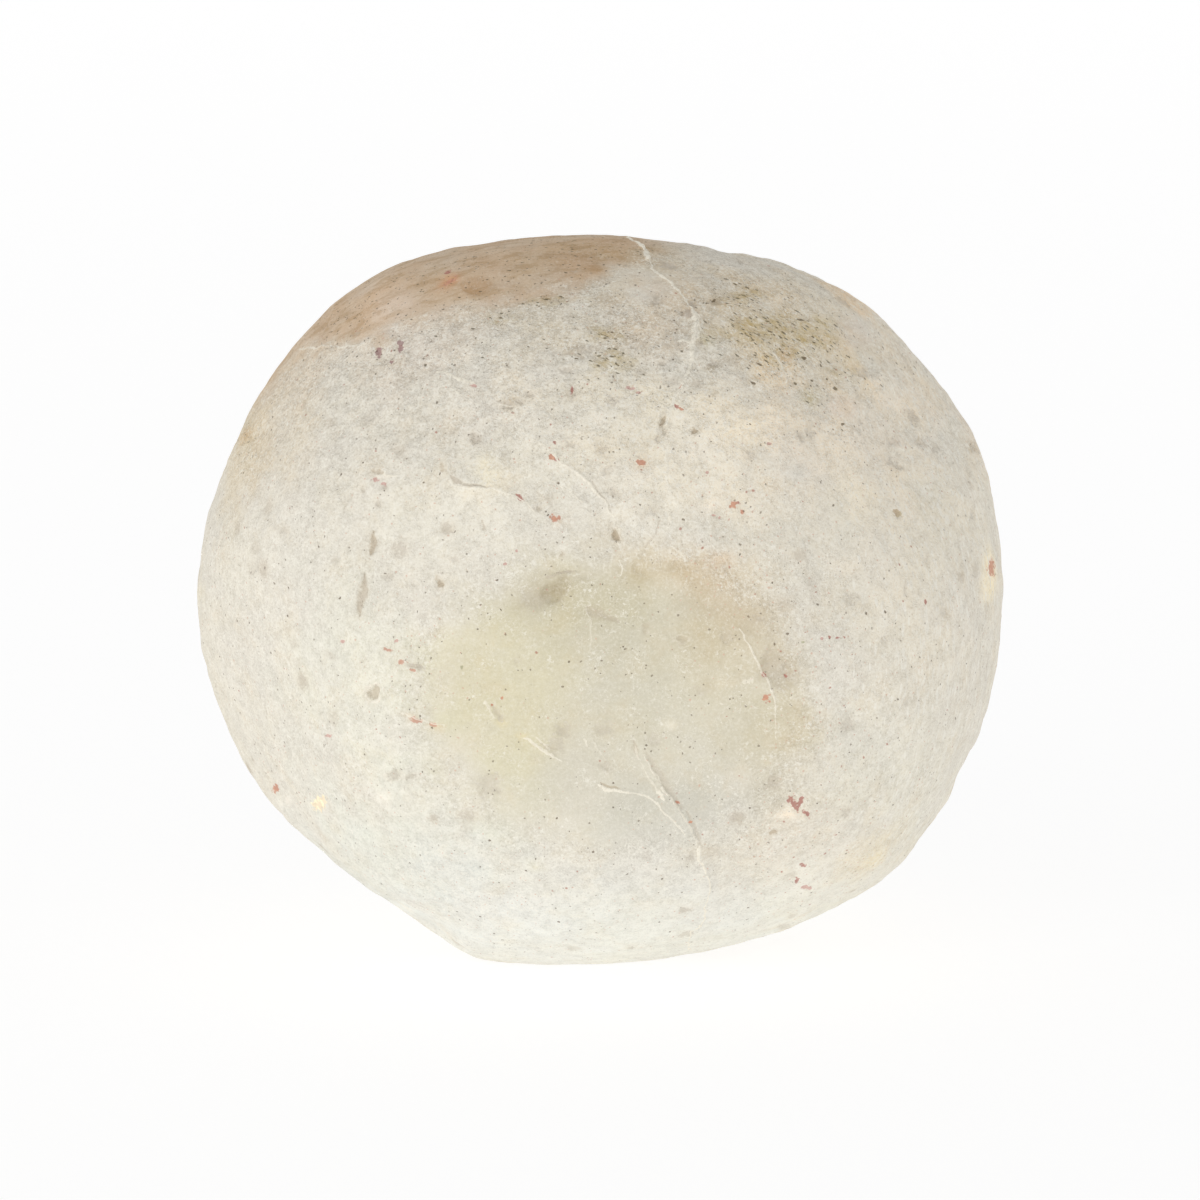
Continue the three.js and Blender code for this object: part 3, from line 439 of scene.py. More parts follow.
REST_SEED = 23
OUTSIDE = 0.2  # a distance from the stone's middle that is outside the stone
ABOVE_FOOT = 2 * MM  # no mark lies lower
UNSEEN_FACING = 0.1  # a point that faces the view less than this isn't seen face on
DIMPLES = 170
DIMPLE_MM = (0.35, 1.1)
DIMPLE_STEEPNESS = 0.12  # its depth, as a share of its half size
DIMPLE_FLOOR = (0.25, 0.75)
REST_PITS = 120
REST_PIT_MM = (0.5, 1.9)
REST_PIT_STEEPNESS = 0.22
REST_PIT_FLOOR = (0.5, 1.1)
REST_PIT_RIMS = (0, 0, 0.4, 0.8)
REST_SPECKS = 60
REST_SPECK_MM = (0.3, 0.9)
REST_SPECK_KINDS = ("wine", "brick", "rose", "coral", "cream", "cream", "butter", "peach", "peach", "olive")
SOFT_SPOT_SIZE = 2.2  # a soft spot is this many times as large as a grain
REST_VEINS = 20
REST_CRACKS = 9
REST_VEIN_STEPS = (5, 13)
REST_VEIN_STEP_MM = 2.6
REST_VEIN_BEND = 0.35
REST_VEIN_HALF_MM = (0.16, 0.3)
REST_VEIN_HEIGHT_MM = (0.12, 0.3)
REST_VEIN_PALE = (0.7, 1)
REST_CRACK_HALF_MM = (0.12, 0.2)
REST_CRACK_DEPTH_MM = 0.1
REST_CRACK_FLOOR = (0.4, 0.8)
REST_CRACK_TAN = 0.3
REST_STAINS = [
    # a direction from the stone's middle, the reach in mm, and the colour it multiplies by
    ((-0.35, 0.25, 0.9), 30, SKIN_COLOUR),
    ((-0.75, 0.55, 0.45), 24, (0.93, 0.86, 0.76)),
    ((0.1, 0.7, 0.7), 16, (0.9, 0.87, 0.74)),
    ((0.3, 0.95, -0.1), 34, (0.97, 0.955, 0.88)),
    ((0.85, 0.5, 0.2), 20, (0.96, 0.92, 0.86)),
    ((-0.6, 0.75, -0.35), 26, (0.965, 0.97, 0.975)),
    ((0.1, 0.2, -1.0), 22, (0.93, 0.9, 0.83)),
    ((0.6, 0.55, 0.65), 18, (0.94, 0.89, 0.78)),
]

# ---- How the marks lie in the rind ----

FRONT_FADE = 0.09  # marks of the front fade out where the rind faces the view less than this
FIELD_REACH = 3  # a mark's colour field falls to nothing this many half sizes out
SPOT_REACH = 3.2  # and nothing of a spot is looked for beyond this many
WANDER = 2.2  # steps by which a line strays from its places
WAVY_WIDTH = 0.35  # how far a line's width sways with the wavy noise, as a share of it,
RAGGED_WIDTH = 0.25  # and with the ragged noise
WIDEST_BEAD = 1.3  # a vein's height grows with its width's share up to this
REST_LINE_REACH = 5  # nothing of a line of the rest is looked for beyond this many half widths
LEDGE_EDGE_MM = (-0.12, 0.1)  # over this the surface rises at a ledge
LEDGE_RAGGED_MM = 0.12
LEDGE_REACH = 5  # in lengths of its run
LEDGE_ENDS = 14  # steps over which a ledge's ends fade
UNEVEN = 0.75  # how far a spot's outline strays, as a share of its half size,
REST_RAGGED = 0.35  # and how far that of a spot of the rest does
PIT_WALL = (1.15, 0.5)  # a pit's wall begins and ends this many half sizes from its middle
RIM_AT = 1.2  # and its lip stands there
RIM_HALF = 0.2
RIM_MM = 0.06
# how pale a pit's lip is painted: a painted highlight
RIM_HIGHLIGHT = 0.8
SPECK_WALL = (1.1, 0.6)
SPECK_SUNK_MM = 0.07
SOFT_SPOT_FALL = 1.4
STAIN_EDGE = 1.1  # a stain begins this many half sizes from its middle
FOOT_FADE_MM = 1.5  # all relief fades in over this height above the foot

# the rind's own lumps: their sizes and heights in mm
LUMPS = (("Broad lump", 7, 0.22), ("Lump", 3.4, 0.2), ("Small lump", 1.7, 0.1))
LUMPS_SEED = 11
LUMPS_APART = 3.7  # from one size's noise to the next
LUMPS_GAIN = 2.6  # brings the noise to about -1 to 1
LUMPS_ON_WORN = 0.4  # the share of their height that is left on the worn face
LUMPS_FULL_MM = 0.28  # the height that counts as fully high, where the rind is painted palest

# ---- The rind's mesh ----

ON_LINE_MM = (0.15, 0.28)  # the longest edge on a vein or crack, from the narrowest to the broadest,
ON_LEDGE_MM = 0.38  # on a ledge,
ON_PIT_MM = 0.38  # at a pit's wall,
ON_SPECK_MM = (0.2, 0.36)  # on a speck, from the smallest to the largest,
ON_REST_MM = 0.6  # on the pits of the sides and back,
ON_REST_LINE_MM = 0.36  # and on their veins,
BETWEEN_MM = 1.6  # and between marks
LINE_STEP_MM = 0.35  # how far apart places are looked at along a vein or crack,
REST_LINE_STEP_MM = 0.5  # and along a ledge or a line of the rest
BAND_MM = 0.25  # the fine mesh reaches this far to each side of a mark
COARSER_BY = 0.9  # how fast the edges may grow beyond it
MOST_PASSES = 6
SMOOTH_TURNS = 4  # softens the frame's facets before the fine relief goes on
LINE_EDGE = 1.4  # the longest edge on a line, in its half widths, within the limits above,
SPECK_EDGE = 1.3  # and on a speck, in its half sizes
CURVE_SHARE = 0.75  # of the lift that the normals ask for at an edge's middle
SAME_PLACE = 1e-6
TINY = 1e-20
SIDEWAYS = (0.3, 0.9, 0.2)  # the direction that along_surface starts from


def frame_form(node):
    """The vertices and triangles of a CAD node's solid, merged."""
    form = bmesh.new()
    form.from_mesh(node.data)
    bmesh.ops.remove_doubles(form, verts=form.verts, dist=SAME_PLACE)
    bmesh.ops.triangulate(form, faces=form.faces)
    points = np.array([v.co for v in form.verts])
    triangles = np.array([[v.index for v in f.verts] for f in form.faces])
    form.free()
    return points, triangles


def vertex_normals(points, triangles):
    a, b, c = (points[triangles[:, i]] for i in range(3))
    face = np.cross(b - a, c - a)
    total = np.zeros_like(points)
    for i in range(3):
        np.add.at(total, triangles[:, i], face)
    return total / np.maximum(np.linalg.norm(total, axis=1, keepdims=True), TINY)


def curved_middles(points, normals, pairs):
    """The middle of each pair of points, lifted onto the curve that the normals there ask for."""
    a, b = points[pairs[:, 0]], points[pairs[:, 1]]
    flat = (a + b) / 2
    lift = np.zeros_like(flat)
    for end, normal in ((a, normals[pairs[:, 0]]), (b, normals[pairs[:, 1]])):
        lift -= np.einsum("ij,ij->i", flat - end, normal)[:, None] * normal / 2
    return flat + CURVE_SHARE * lift


def halved(points, triangles, wanted):
    """Halves each edge that is longer than wanted at its middle, and cuts the triangles to suit."""
    normals = vertex_normals(points, triangles)
    sides = np.sort(np.stack([triangles, np.roll(triangles, -1, axis=1)], axis=2), axis=2)
    edges, which = np.unique(sides.reshape(-1, 2), axis=0, return_inverse=True)
    middles = curved_middles(points, normals, edges)
    lengths = np.linalg.norm(points[edges[:, 0]] - points[edges[:, 1]], axis=1)
    long = lengths > wanted(middles, lengths)
    index = np.full(len(edges), -1)
    index[long] = len(points) + np.arange(long.sum())
    points = np.vstack([points, middles[long]])
    cuts = index[which].reshape(-1, 3)
    count = (cuts >= 0).sum(axis=1)
    # Turn each triangle so that its first side is cut, and of two cut sides the other one comes second.
    first = np.argmax(cuts >= 0, axis=1)
    first[(count == 2) & (cuts[:, 0] >= 0) & (cuts[:, 2] >= 0)] = 2
    turn = (first[:, None] + np.arange(3)) % 3
    a, b, c = np.take_along_axis(triangles, turn, axis=1).T
    ab, bc, ca = np.take_along_axis(cuts, turn, axis=1).T
    pieces = [triangles[count == 0]]
    cut_into = {
        1: ((a, ab, c), (ab, b, c)),
        2: ((ab, b, bc), (a, ab, bc), (a, bc, c)),
        3: ((a, ab, ca), (ab, b, bc), (ca, bc, c), (ab, bc, ca)),
    }
    for cut, parts in cut_into.items():
        pieces += [np.stack(part, axis=1)[count == cut] for part in parts]
    return points, np.vstack(pieces), long.any()


def smoothed(points, triangles, turns):
    """Moves each vertex half way to the middle of its neighbours, a number of times."""
    sides = np.vstack([triangles[:, [0, 1]], triangles[:, [1, 2]], triangles[:, [2, 0]]])
    count = np.bincount(sides[:, 0], minlength=len(points))[:, None]
    for _ in range(turns):
        around = np.zeros_like(points)
        np.add.at(around, sides[:, 0], points[sides[:, 1]])
        points = (points + around / count) / 2
    return points


def along(places, step):
    """Points at even steps along a line, its ends included."""
    found = []
    for start, end in zip(places, places[1:]):
        start, end = np.array(start, float), np.array(end, float)
        count = max(1, math.ceil(np.linalg.norm(end - start) / step))
        found += [start + (end - start) * i / count for i in range(count)]
    return found + [np.array(places[-1], float)]


def ellipse_edge(mark, count=10):
    """Places round the edge of a pit or speck, with its middle."""
    turn = math.radians(mark["turn"])
    wide, high = mark["half"]
    places = [mark["at"]]
    for i in range(count):
        u = wide * math.cos(2 * math.pi * i / count)
        v = high * math.sin(2 * math.pi * i / count)
        places.append((mark["at"][0] + u * math.cos(turn) - v * math.sin(turn),
                       mark["at"][1] - u * math.sin(turn) - v * math.cos(turn)))
    return places


def along_surface(normal):
    """Two directions that are square to a normal and to each other."""
    side = np.cross(normal, SIDEWAYS)
    side /= np.linalg.norm(side)
    return side, np.cross(normal, side)


def ring(middle, normal, radius, count=8):
    side, other = along_surface(normal)
    angles = [2 * math.pi * i / count for i in range(count)]
    return [middle + radius * (math.cos(t) * side + math.sin(t) * other) for t in angles]


def fine_places(tree, rest):
    """Where the mesh has to be fine: points on the stone with the longest edge wanted there, in mm."""
    found = []
    for mark in VEINS + CRACKS:
        edge = np.clip(LINE_EDGE * mark["half"], *ON_LINE_MM)
        found += [(place, edge) for place in along([p[:2] for p in mark["places"]], LINE_STEP_MM / STEP_MM)]
    for mark in LEDGES:
        found += [(place, ON_LEDGE_MM) for place in along(mark["places"], REST_LINE_STEP_MM / STEP_MM)]
    found += [(place, ON_PIT_MM) for mark in PITS for place in ellipse_edge(mark)]
    for mark in SPECKS:
        edge = np.clip(SPECK_EDGE * min(mark["half"]) * STEP_MM, *ON_SPECK_MM)
        found += [(place, edge) for place in ellipse_edge(mark, 6)]
    placed = [(under_view(tree, *place), edge) for place, edge in found]
    placed = [(point, edge) for point, edge in placed if point is not None]
    for mark in rest["pits"]:
        placed += [(point, ON_REST_MM) for point in ring(mark["at"], mark["normal"], mark["half"])]
    placed += [(mark["at"], ON_SPECK_MM[1]) for mark in rest["specks"]]
    for mark in rest["veins"] + rest["cracks"]:
        placed += [(point, ON_REST_LINE_MM) for point in along(mark["places"], REST_LINE_STEP_MM * MM)]
    return placed


def fineness(placed):
    """A function that gives the longest edge wanted at each of some points."""
    tree = KDTree(len(placed))
    for i, (point, _) in enumerate(placed):
        tree.insert(Vector(point), i)
    tree.balance()
    edge_at = [edge for _, edge in placed]

    def wanted(points, lengths):
        found = np.full(len(points), BETWEEN_MM * MM)
        for i in np.nonzero(lengths > min(edge_at) * MM)[0]:
            _, nearest, distance = tree.find(Vector(points[i]))
            grown = edge_at[nearest] * MM + COARSER_BY * max(0, distance - BAND_MM * MM)
            found[i] = min(found[i], grown)
        return found

    return wanted


# ---- Relief and colour, worked out at the mesh's vertices ----

SEED_SHIFT = (17.3, -9.1, 4.7)  # how far one seed's noise is from the next


def smooth_step(low, high, value):
    t = np.clip((value - low) / (high - low), 0, 1)
    return t * t * (3 - 2 * t)


def noise_at(points, size_mm, seed=0):
    """Noise from about -1 to 1 at each point, with lumps of that size."""
    shift = Vector([step * seed for step in SEED_SHIFT])
    scale = 1 / (size_mm * MM)
    return np.array([noise.noise(Vector(p) * scale + shift) for p in points])


def line_distance(places, points, widths=None):
    """The distance of points from a line, the side they are on (1 on the left of the walk, or -1), and how
    wide the line is there."""
    widths = [1] * len(places) if widths is None else widths
    nearest = np.full(len(points), np.inf)
    side = np.zeros(len(points))
    width = np.ones(len(points))
    for i in range(len(places) - 1):
        start, end = np.array(places[i], float), np.array(places[i + 1], float)
        way = end - start
        t = np.clip((points - start) @ way / (way @ way), 0, 1)
        offset = points - start - t[:, None] * way
        distance = np.linalg.norm(offset, axis=1)
        closer = distance < nearest
        nearest[closer] = distance[closer]
        width[closer] = widths[i] + t[closer] * (widths[i + 1] - widths[i])
        if len(start) == 2:
            side[closer] = np.sign(way[1] * offset[closer, 0] - way[0] * offset[closer, 1])
    return nearest, side, width


def ellipse_distance(mark, x, y):
    """How far out points are in a turned ellipse: 0 at its middle and 1 at its edge."""
    turn = math.radians(mark["turn"])
    right, up = x - mark["at"][0], mark["at"][1] - y
    u = right * math.cos(turn) + up * math.sin(turn)
    v = up * math.cos(turn) - right * math.sin(turn)
    return np.hypot(u / mark["half"][0], v / mark["half"][1])


class Rind:
    """The relief in mm along the normal, and the colour fields, of every vertex."""

    FIELDS = ("vein", "vein_share", "hollow", "floor_share", "tan_floor", "mineral_near", "mineral_share",
              "worn", "skin", "porous", "rusty", "olive", "streaky")

    def __init__(self, points, normals):
        self.points = points
        self.x, self.y = in_view(points)
        self.facing = smooth_step(0.0, FRONT_FADE, normals @ TOWARDS_VIEW)
        self.relief = np.zeros(len(points))
        # how near a vertex is to a vein, a hollow and a mineral: 1 at its middle, with what is kept of each
        self.vein, self.vein_share = np.zeros((2, len(points)))
        self.hollow, self.floor_share, self.tan_floor = np.zeros((3, len(points)))
        self.mineral_near, self.mineral_share = np.zeros((2, len(points)))
        self.mineral = np.zeros((len(points), 3))
        self.tint = np.ones((len(points), 3))
        self.ragged = noise_at(points, 0.7, 3)
        self.wavy = noise_at(points, 2.4, 5)
        self.cloudy = noise_at(points, 6, 7)
        stray_x, stray_y = (
            WANDER * noise_at(points, 1.5, seed) + WANDER / 3 * noise_at(points, 0.6, seed + 1)
            for seed in (21, 31))
        self.drawn = np.stack([self.x + stray_x, self.y + stray_y], axis=1)
        self.drawn_3d = points + np.stack([stray_x, stray_y, stray_x - stray_y], axis=1) * STEP_MM * MM

    def front_near(self, mark):
        """The vertices of the front that lie near a mark of the view."""
        x, y = mark["at"]
        close = np.hypot(self.x - x, self.y - y) < SPOT_REACH * max(mark["half"])
        return np.nonzero(close & (self.facing > 0))[0]

    def keep(self, kind, where, near, **values):
        """Keeps a mark's nearness and its values at the vertices where no other of its kind is nearer."""
        field = getattr(self, kind)
        closer = near > field[where]
        at = where[closer]
        field[at] = near[closer]
        for name, value in values.items():
            getattr(self, name)[at] = value

    def multiply(self, share, colour, where=slice(None)):
        """Multiplies the tint by a colour, as fully as share says."""
        self.tint[where] *= 1 - share[:, None] * (1 - np.array(colour))

    def add_line(self, distance, where, mark, width, share):
        """A vein stands up and a crack goes in. distance is in mm, at the vertices where."""
        half = mark["half"] * width * (1 + WAVY_WIDTH * self.wavy[where] + RAGGED_WIDTH * self.ragged[where])
        profile = np.exp(-(distance / half) ** 2) * share
        near = np.clip(1 - distance / (FIELD_REACH * half), 0, 1) * share
        if "depth" in mark:
            self.relief[where] -= mark["depth"] * profile
            self.keep("hollow", where, near, floor_share=mark["floor"], tan_floor=mark["tan"])
        else:
            beads = (0.8 + self.wavy[where]) * np.minimum(width, WIDEST_BEAD)
            self.relief[where] += mark["height"] * profile * beads
            self.keep("vein", where, near, vein_share=mark["pale"])

    def add_front_lines(self):
        for mark in VEINS + CRACKS:
            places = np.array([place[:2] for place in mark["places"]], float)
            widths = [(*place, 1)[2] for place in mark["places"]]
            widest = mark["half"] * max(widths) * (1 + WAVY_WIDTH + RAGGED_WIDTH)
            reach = FIELD_REACH * widest / STEP_MM + 2 * WANDER
            low, high = places.min(0) - reach, places.max(0) + reach
            inside = ((self.drawn > low) & (self.drawn < high)).all(axis=1)
            where = np.nonzero(inside & (self.facing > 0))[0]
            distance, _, width = line_distance(places, self.drawn[where], widths)
            self.add_line(distance * STEP_MM, where, mark, width, self.facing[where])

    def add_ledges(self):
        for mark in LEDGES:
            distance, side, _ = line_distance(mark["places"], np.stack([self.x, self.y], axis=1))
            off = side * distance * STEP_MM + LEDGE_RAGGED_MM * self.ragged
            stand = smooth_step(*LEDGE_EDGE_MM, off) * np.exp(-np.maximum(off, 0) / mark["run"])
            stand[distance * STEP_MM > LEDGE_REACH * mark["run"]] = 0
            for x, y in (mark["places"][0], mark["places"][-1]):
                stand *= smooth_step(0, LEDGE_ENDS, np.hypot(self.x - x, self.y - y))
            self.relief += mark["drop"] * stand * self.facing

    def add_pit(self, where, out, mark, share):
        """out is 0 at the pit's middle and 1 at its edge, at the vertices where."""
        self.relief[where] -= mark["depth"] * (smooth_step(*PIT_WALL, out) * share)
        near = np.clip(1 - out / FIELD_REACH, 0, 1) * share
        self.keep("hollow", where, near, floor_share=mark["floor"], tan_floor=mark["tan"])
        # the lip stands up, and the vein field paints it pale: a painted highlight
        if mark["rim"]:
            lip = np.exp(-((out - RIM_AT) / RIM_HALF) ** 2) * share
            self.relief[where] += RIM_MM * mark["rim"] * lip
            near = np.clip(1 - np.abs(out - RIM_AT) / (4 * RIM_HALF), 0, 1) * share
            self.keep("vein", where, near, vein_share=RIM_HIGHLIGHT * mark["rim"])

    def add_mineral(self, where, out, kind, share):
        colour, full = MINERALS[kind]
        if kind in SOFT_SPOTS:
            fading = full * np.exp(-SOFT_SPOT_FALL * out**2) * share
            self.multiply(fading, np.array(colour) / BASE_PALE, where)
        else:
            near = np.clip(1 - out / FIELD_REACH, 0, 1) * share
            self.keep("mineral_near", where, near, mineral=colour, mineral_share=full)

    def uneven(self, where, mark, number):
        """How far out vertices are in a front mark of an irregular outline."""
        size = max(mark["half"]) * STEP_MM
        sway = UNEVEN * min(mark["half"])
        points = self.points[where]
        shift_x, shift_y = (
            sway * (noise_at(points, 0.9 * size, seed) + 0.5 * noise_at(points, 0.4 * size, seed))
            for seed in (number, -number))
        return ellipse_distance(mark, self.x[where] + shift_x, self.y[where] + shift_y)

    def add_front_spots(self):
        for number, mark in enumerate(PITS, 40):
            where = self.front_near(mark)
            self.add_pit(where, self.uneven(where, mark, number), mark, self.facing[where])
        for number, mark in enumerate(CRUMBS + SPECKS, 200):
            where = self.front_near(mark)
            out = self.uneven(where, mark, number)
            self.add_mineral(where, out, mark["kind"], self.facing[where])
            if mark["kind"] not in SOFT_SPOTS:
                self.relief[where] -= SPECK_SUNK_MM * smooth_step(*SPECK_WALL, out) * self.facing[where]

    def add_stains_and_painted_light_and_shade(self):
        # the stains, and patches of painted light and shade, then the brown skin
        for mark in STAINS_AND_PAINTED_LIGHT_AND_SHADE:
            out = ellipse_distance(mark, self.x, self.y) + mark["ragged"] * (self.cloudy + 0.6 * self.wavy)
            self.multiply(smooth_step(STAIN_EDGE, 1 - mark["soft"], out) * self.facing, mark["colour"])
        distance, side, _ = line_distance(SKIN_EDGE, np.stack([self.x, self.y], axis=1))
        above = side * distance + 12 * self.wavy + 10 * self.cloudy
        shown = smooth_step(*SKIN_ENDS, self.x) * self.facing
        self.skin = smooth_step(-SKIN_FADE, SKIN_FADE, above) * shown
        self.multiply(self.skin * (0.9 + 0.3 * self.cloudy), SKIN_COLOUR)

    def add_zones(self):
        """Where the rind is worn, porous, rusty, olive and streaky."""
        out = ellipse_distance(WORN_FACE, self.x, self.y) + 0.1 * self.cloudy + 0.05 * self.wavy
        self.worn = np.maximum(smooth_step(1.1, 0.85, out) * self.facing, 0.6 * self.skin)
        self.porous = np.clip(0.25 + 0.45 * smooth_step(*POROUS_FROM, self.points[:, 2]), 0, 1)
        self.rusty = np.clip(0.25 + 0.5 * self.cloudy, 0.1, 0.5) * (1 - 0.6 * self.worn)
        self.olive = np.zeros(len(self.points))
        zoned = ((self.porous, POROUS), (self.rusty, RUSTY), (self.olive, OLIVE), (self.worn, SMOOTH))
        for field, zones in zoned:
            for x, y, wide, high, amount in zones:
                out = np.hypot((self.x - x) / wide, (self.y - y) / high) + 0.3 * self.cloudy + 0.2 * self.wavy
                field[:] = np.maximum(field, amount * smooth_step(1.3, 0.3, out) * self.facing)
        self.streaky = smooth_step(*STREAKY_FROM, self.x) * self.facing

    def add_rest(self, rest):
        for mark in rest["stains"]:
            out = np.linalg.norm(self.points - mark["at"], axis=1) / mark["half"]
            out += 0.2 * (self.cloudy + 0.6 * self.wavy)
            share = smooth_step(STAIN_EDGE, 0.5, out) * (1 - self.facing)
            self.multiply(share, mark["colour"])
            if mark["colour"] == SKIN_COLOUR:
                self.skin = np.maximum(self.skin, share)
        for mark in rest["pits"] + rest["specks"]:
            distance = np.linalg.norm(self.points - mark["at"], axis=1)
            where = np.nonzero(distance < SPOT_REACH * mark["half"])[0]
            out = distance[where] / mark["half"] * (1 + REST_RAGGED * self.ragged[where])
            full = np.ones(len(where))
            if "depth" in mark:
                self.add_pit(where, out, mark, full)
            else:
                self.add_mineral(where, out, mark["kind"], full)
        for mark in rest["veins"] + rest["cracks"]:
            distance, _, width = line_distance(mark["places"], self.drawn_3d)
            where = np.nonzero(distance < REST_LINE_REACH * mark["half"] * MM)[0]
            self.add_line(distance[where] / MM, where, mark, width[where], np.ones(len(where)))

    def store_on(self, mesh):
        """Keeps the relief and the fields as attributes of the mesh."""
        for name in ("relief", *self.FIELDS):
            store(mesh, name, getattr(self, name))
        for name in ("tint", "mineral"):
            colours = getattr(self, name)
            data = np.hstack([colours, np.ones((len(colours), 1))]).astype(np.float32)
            mesh.attributes.new(name, "FLOAT_COLOR", "POINT").data.foreach_set("color", data.ravel())


def store(mesh, name, values):
    mesh.attributes.new(name, "FLOAT", "POINT").data.foreach_set("value", values.astype(np.float32))


def rest_marks(tree):
    """The marks of the sides, back, top and underside, drawn from a seed."""
    draw = random.Random(REST_SEED)
    middle = np.array(STONE_MIDDLE)
    rest = {"pits": [], "specks": [], "veins": [], "cracks": [], "stains": []}

    def ground(direction):
        unit = Vector(direction).normalized()
        place, normal, _, _ = tree.ray_cast(Vector(middle) + unit * OUTSIDE, -unit)
        return np.array(place), np.array(normal)

    def found(suits):
        """A random point of the surface above the foot that suits."""
        while True:
            place, normal = ground([draw.gauss(0, 1) for _ in range(3)])
            if place[2] > ABOVE_FOOT and suits(place, normal):
                return place, normal

    def unseen(place, normal):
        return normal @ TOWARDS_VIEW < UNSEEN_FACING

    def off_worn_face(place, normal):
        x, y = in_view(place[None])
        return normal @ TOWARDS_VIEW <= 0 or ellipse_distance(WORN_FACE, x, y)[0] >= 1

    def add_pit(place, normal, half, steepness, floor, rim, tan):
        rest["pits"].append({"at": place, "normal": normal, "half": half, "depth": steepness * half / MM,
                             "floor": floor, "rim": rim, "tan": tan})

    def walk():
        """The places of a line that wanders over the surface."""
        place, normal = found(unseen)
        heading = draw.uniform(0, 2 * math.pi)
        places = [place]
        for _ in range(draw.randint(*REST_VEIN_STEPS)):
            side, other = along_surface(normal)
            way = math.cos(heading) * side + math.sin(heading) * other
            place, normal = ground(place + REST_VEIN_STEP_MM * MM * way - middle)
            places.append(place)
            heading += draw.gauss(0, REST_VEIN_BEND)
        return places

    for _ in range(DIMPLES):
        place, normal = found(off_worn_face)
        half = draw.uniform(*DIMPLE_MM) * MM
        add_pit(place, normal, half, DIMPLE_STEEPNESS, draw.uniform(*DIMPLE_FLOOR), 0, 0.5 * draw.random())
    for _ in range(REST_PITS):
        place, normal = found(unseen)
        smallest, largest = REST_PIT_MM
        half = (smallest + (largest - smallest) * draw.random() ** 3) * MM
        add_pit(place, normal, half, REST_PIT_STEEPNESS, draw.uniform(*REST_PIT_FLOOR),
                draw.choice(REST_PIT_RIMS), draw.random())
    for _ in range(REST_SPECKS):
        place, _ = found(unseen)
        kind = draw.choice(REST_SPECK_KINDS)
        half = draw.uniform(*REST_SPECK_MM) * MM * (SOFT_SPOT_SIZE if kind in SOFT_SPOTS else 1)
        rest["specks"].append({"at": place, "half": half, "kind": kind})
    for _ in range(REST_VEINS):
        places = walk()
        sizes = [draw.uniform(*limits) for limits in (REST_VEIN_HALF_MM, REST_VEIN_HEIGHT_MM, REST_VEIN_PALE)]
        rest["veins"].append(vein(*sizes, *places))
    for _ in range(REST_CRACKS):
        places = walk()
        half = draw.uniform(*REST_CRACK_HALF_MM)
        floor = draw.uniform(*REST_CRACK_FLOOR)
        rest["cracks"].append(crack(half, REST_CRACK_DEPTH_MM, floor, REST_CRACK_TAN, *places))
    for direction, reach_mm, colour in REST_STAINS:
        rest["stains"].append({"at": ground(direction)[0], "half": reach_mm * MM, "colour": colour})
    return rest


# ---- The stone ----


def evenly(middles, lengths):
    """The longest edge wanted before the marks are looked at."""
    return np.full(len(middles), BETWEEN_MM * MM)


def make_stone(node, material):
    """The geode: the frame's form, refined, with its relief and colour fields."""
    points, triangles = frame_form(node)
    foot = points[:, 2].min()
    tree = BVHTree.FromPolygons([Vector(p) for p in points], triangles.tolist())
    rest = rest_marks(tree)

    more = True
    while more:
        points, triangles, more = halved(points, triangles, evenly)
    points = smoothed(points, triangles, SMOOTH_TURNS)

    wanted = fineness(fine_places(tree, rest))
    for _ in range(MOST_PASSES):
        points, triangles, more = halved(points, triangles, wanted)
        if not more:
            break
    points[:, 2] = np.maximum(points[:, 2], foot)

    rind = Rind(points, vertex_normals(points, triangles))
    rind.add_stains_and_painted_light_and_shade()
    rind.add_zones()
    rind.add_ledges()
    rind.add_front_lines()
    rind.add_front_spots()
    rind.add_rest(rest)
    mesh = bpy.data.meshes.new("agate_geode")
    mesh.from_pydata(points.tolist(), [], triangles.tolist())
    mesh.shade_smooth()
    store(mesh, "off_foot", smooth_step(0, FOOT_FADE_MM * MM, points[:, 2] - foot))
    rind.store_on(mesh)
    mesh.validate()
    stone = bpy.data.objects.new("agate_geode", mesh)
    bpy.context.scene.collection.objects.link(stone)
    raise_relief(stone, material)
    print("stone triangles:", len(stone.data.polygons))
    return stone


class Value:
    """What a node gives. A sum, difference or product of values makes the node that works it out."""

    def __init__(self, nodes, socket):
        self.nodes = nodes
        self.socket = socket

    def __add__(self, other):
        return self.nodes.math("ADD", self, other)

    def __sub__(self, other):
        return self.nodes.math("SUBTRACT", self, other)

    def __mul__(self, other):
        return self.nodes.math("MULTIPLY", self, other)

    def beside(self, output):
        """Another output of the same node."""
        return Value(self.nodes, self.socket.node.outputs[output])


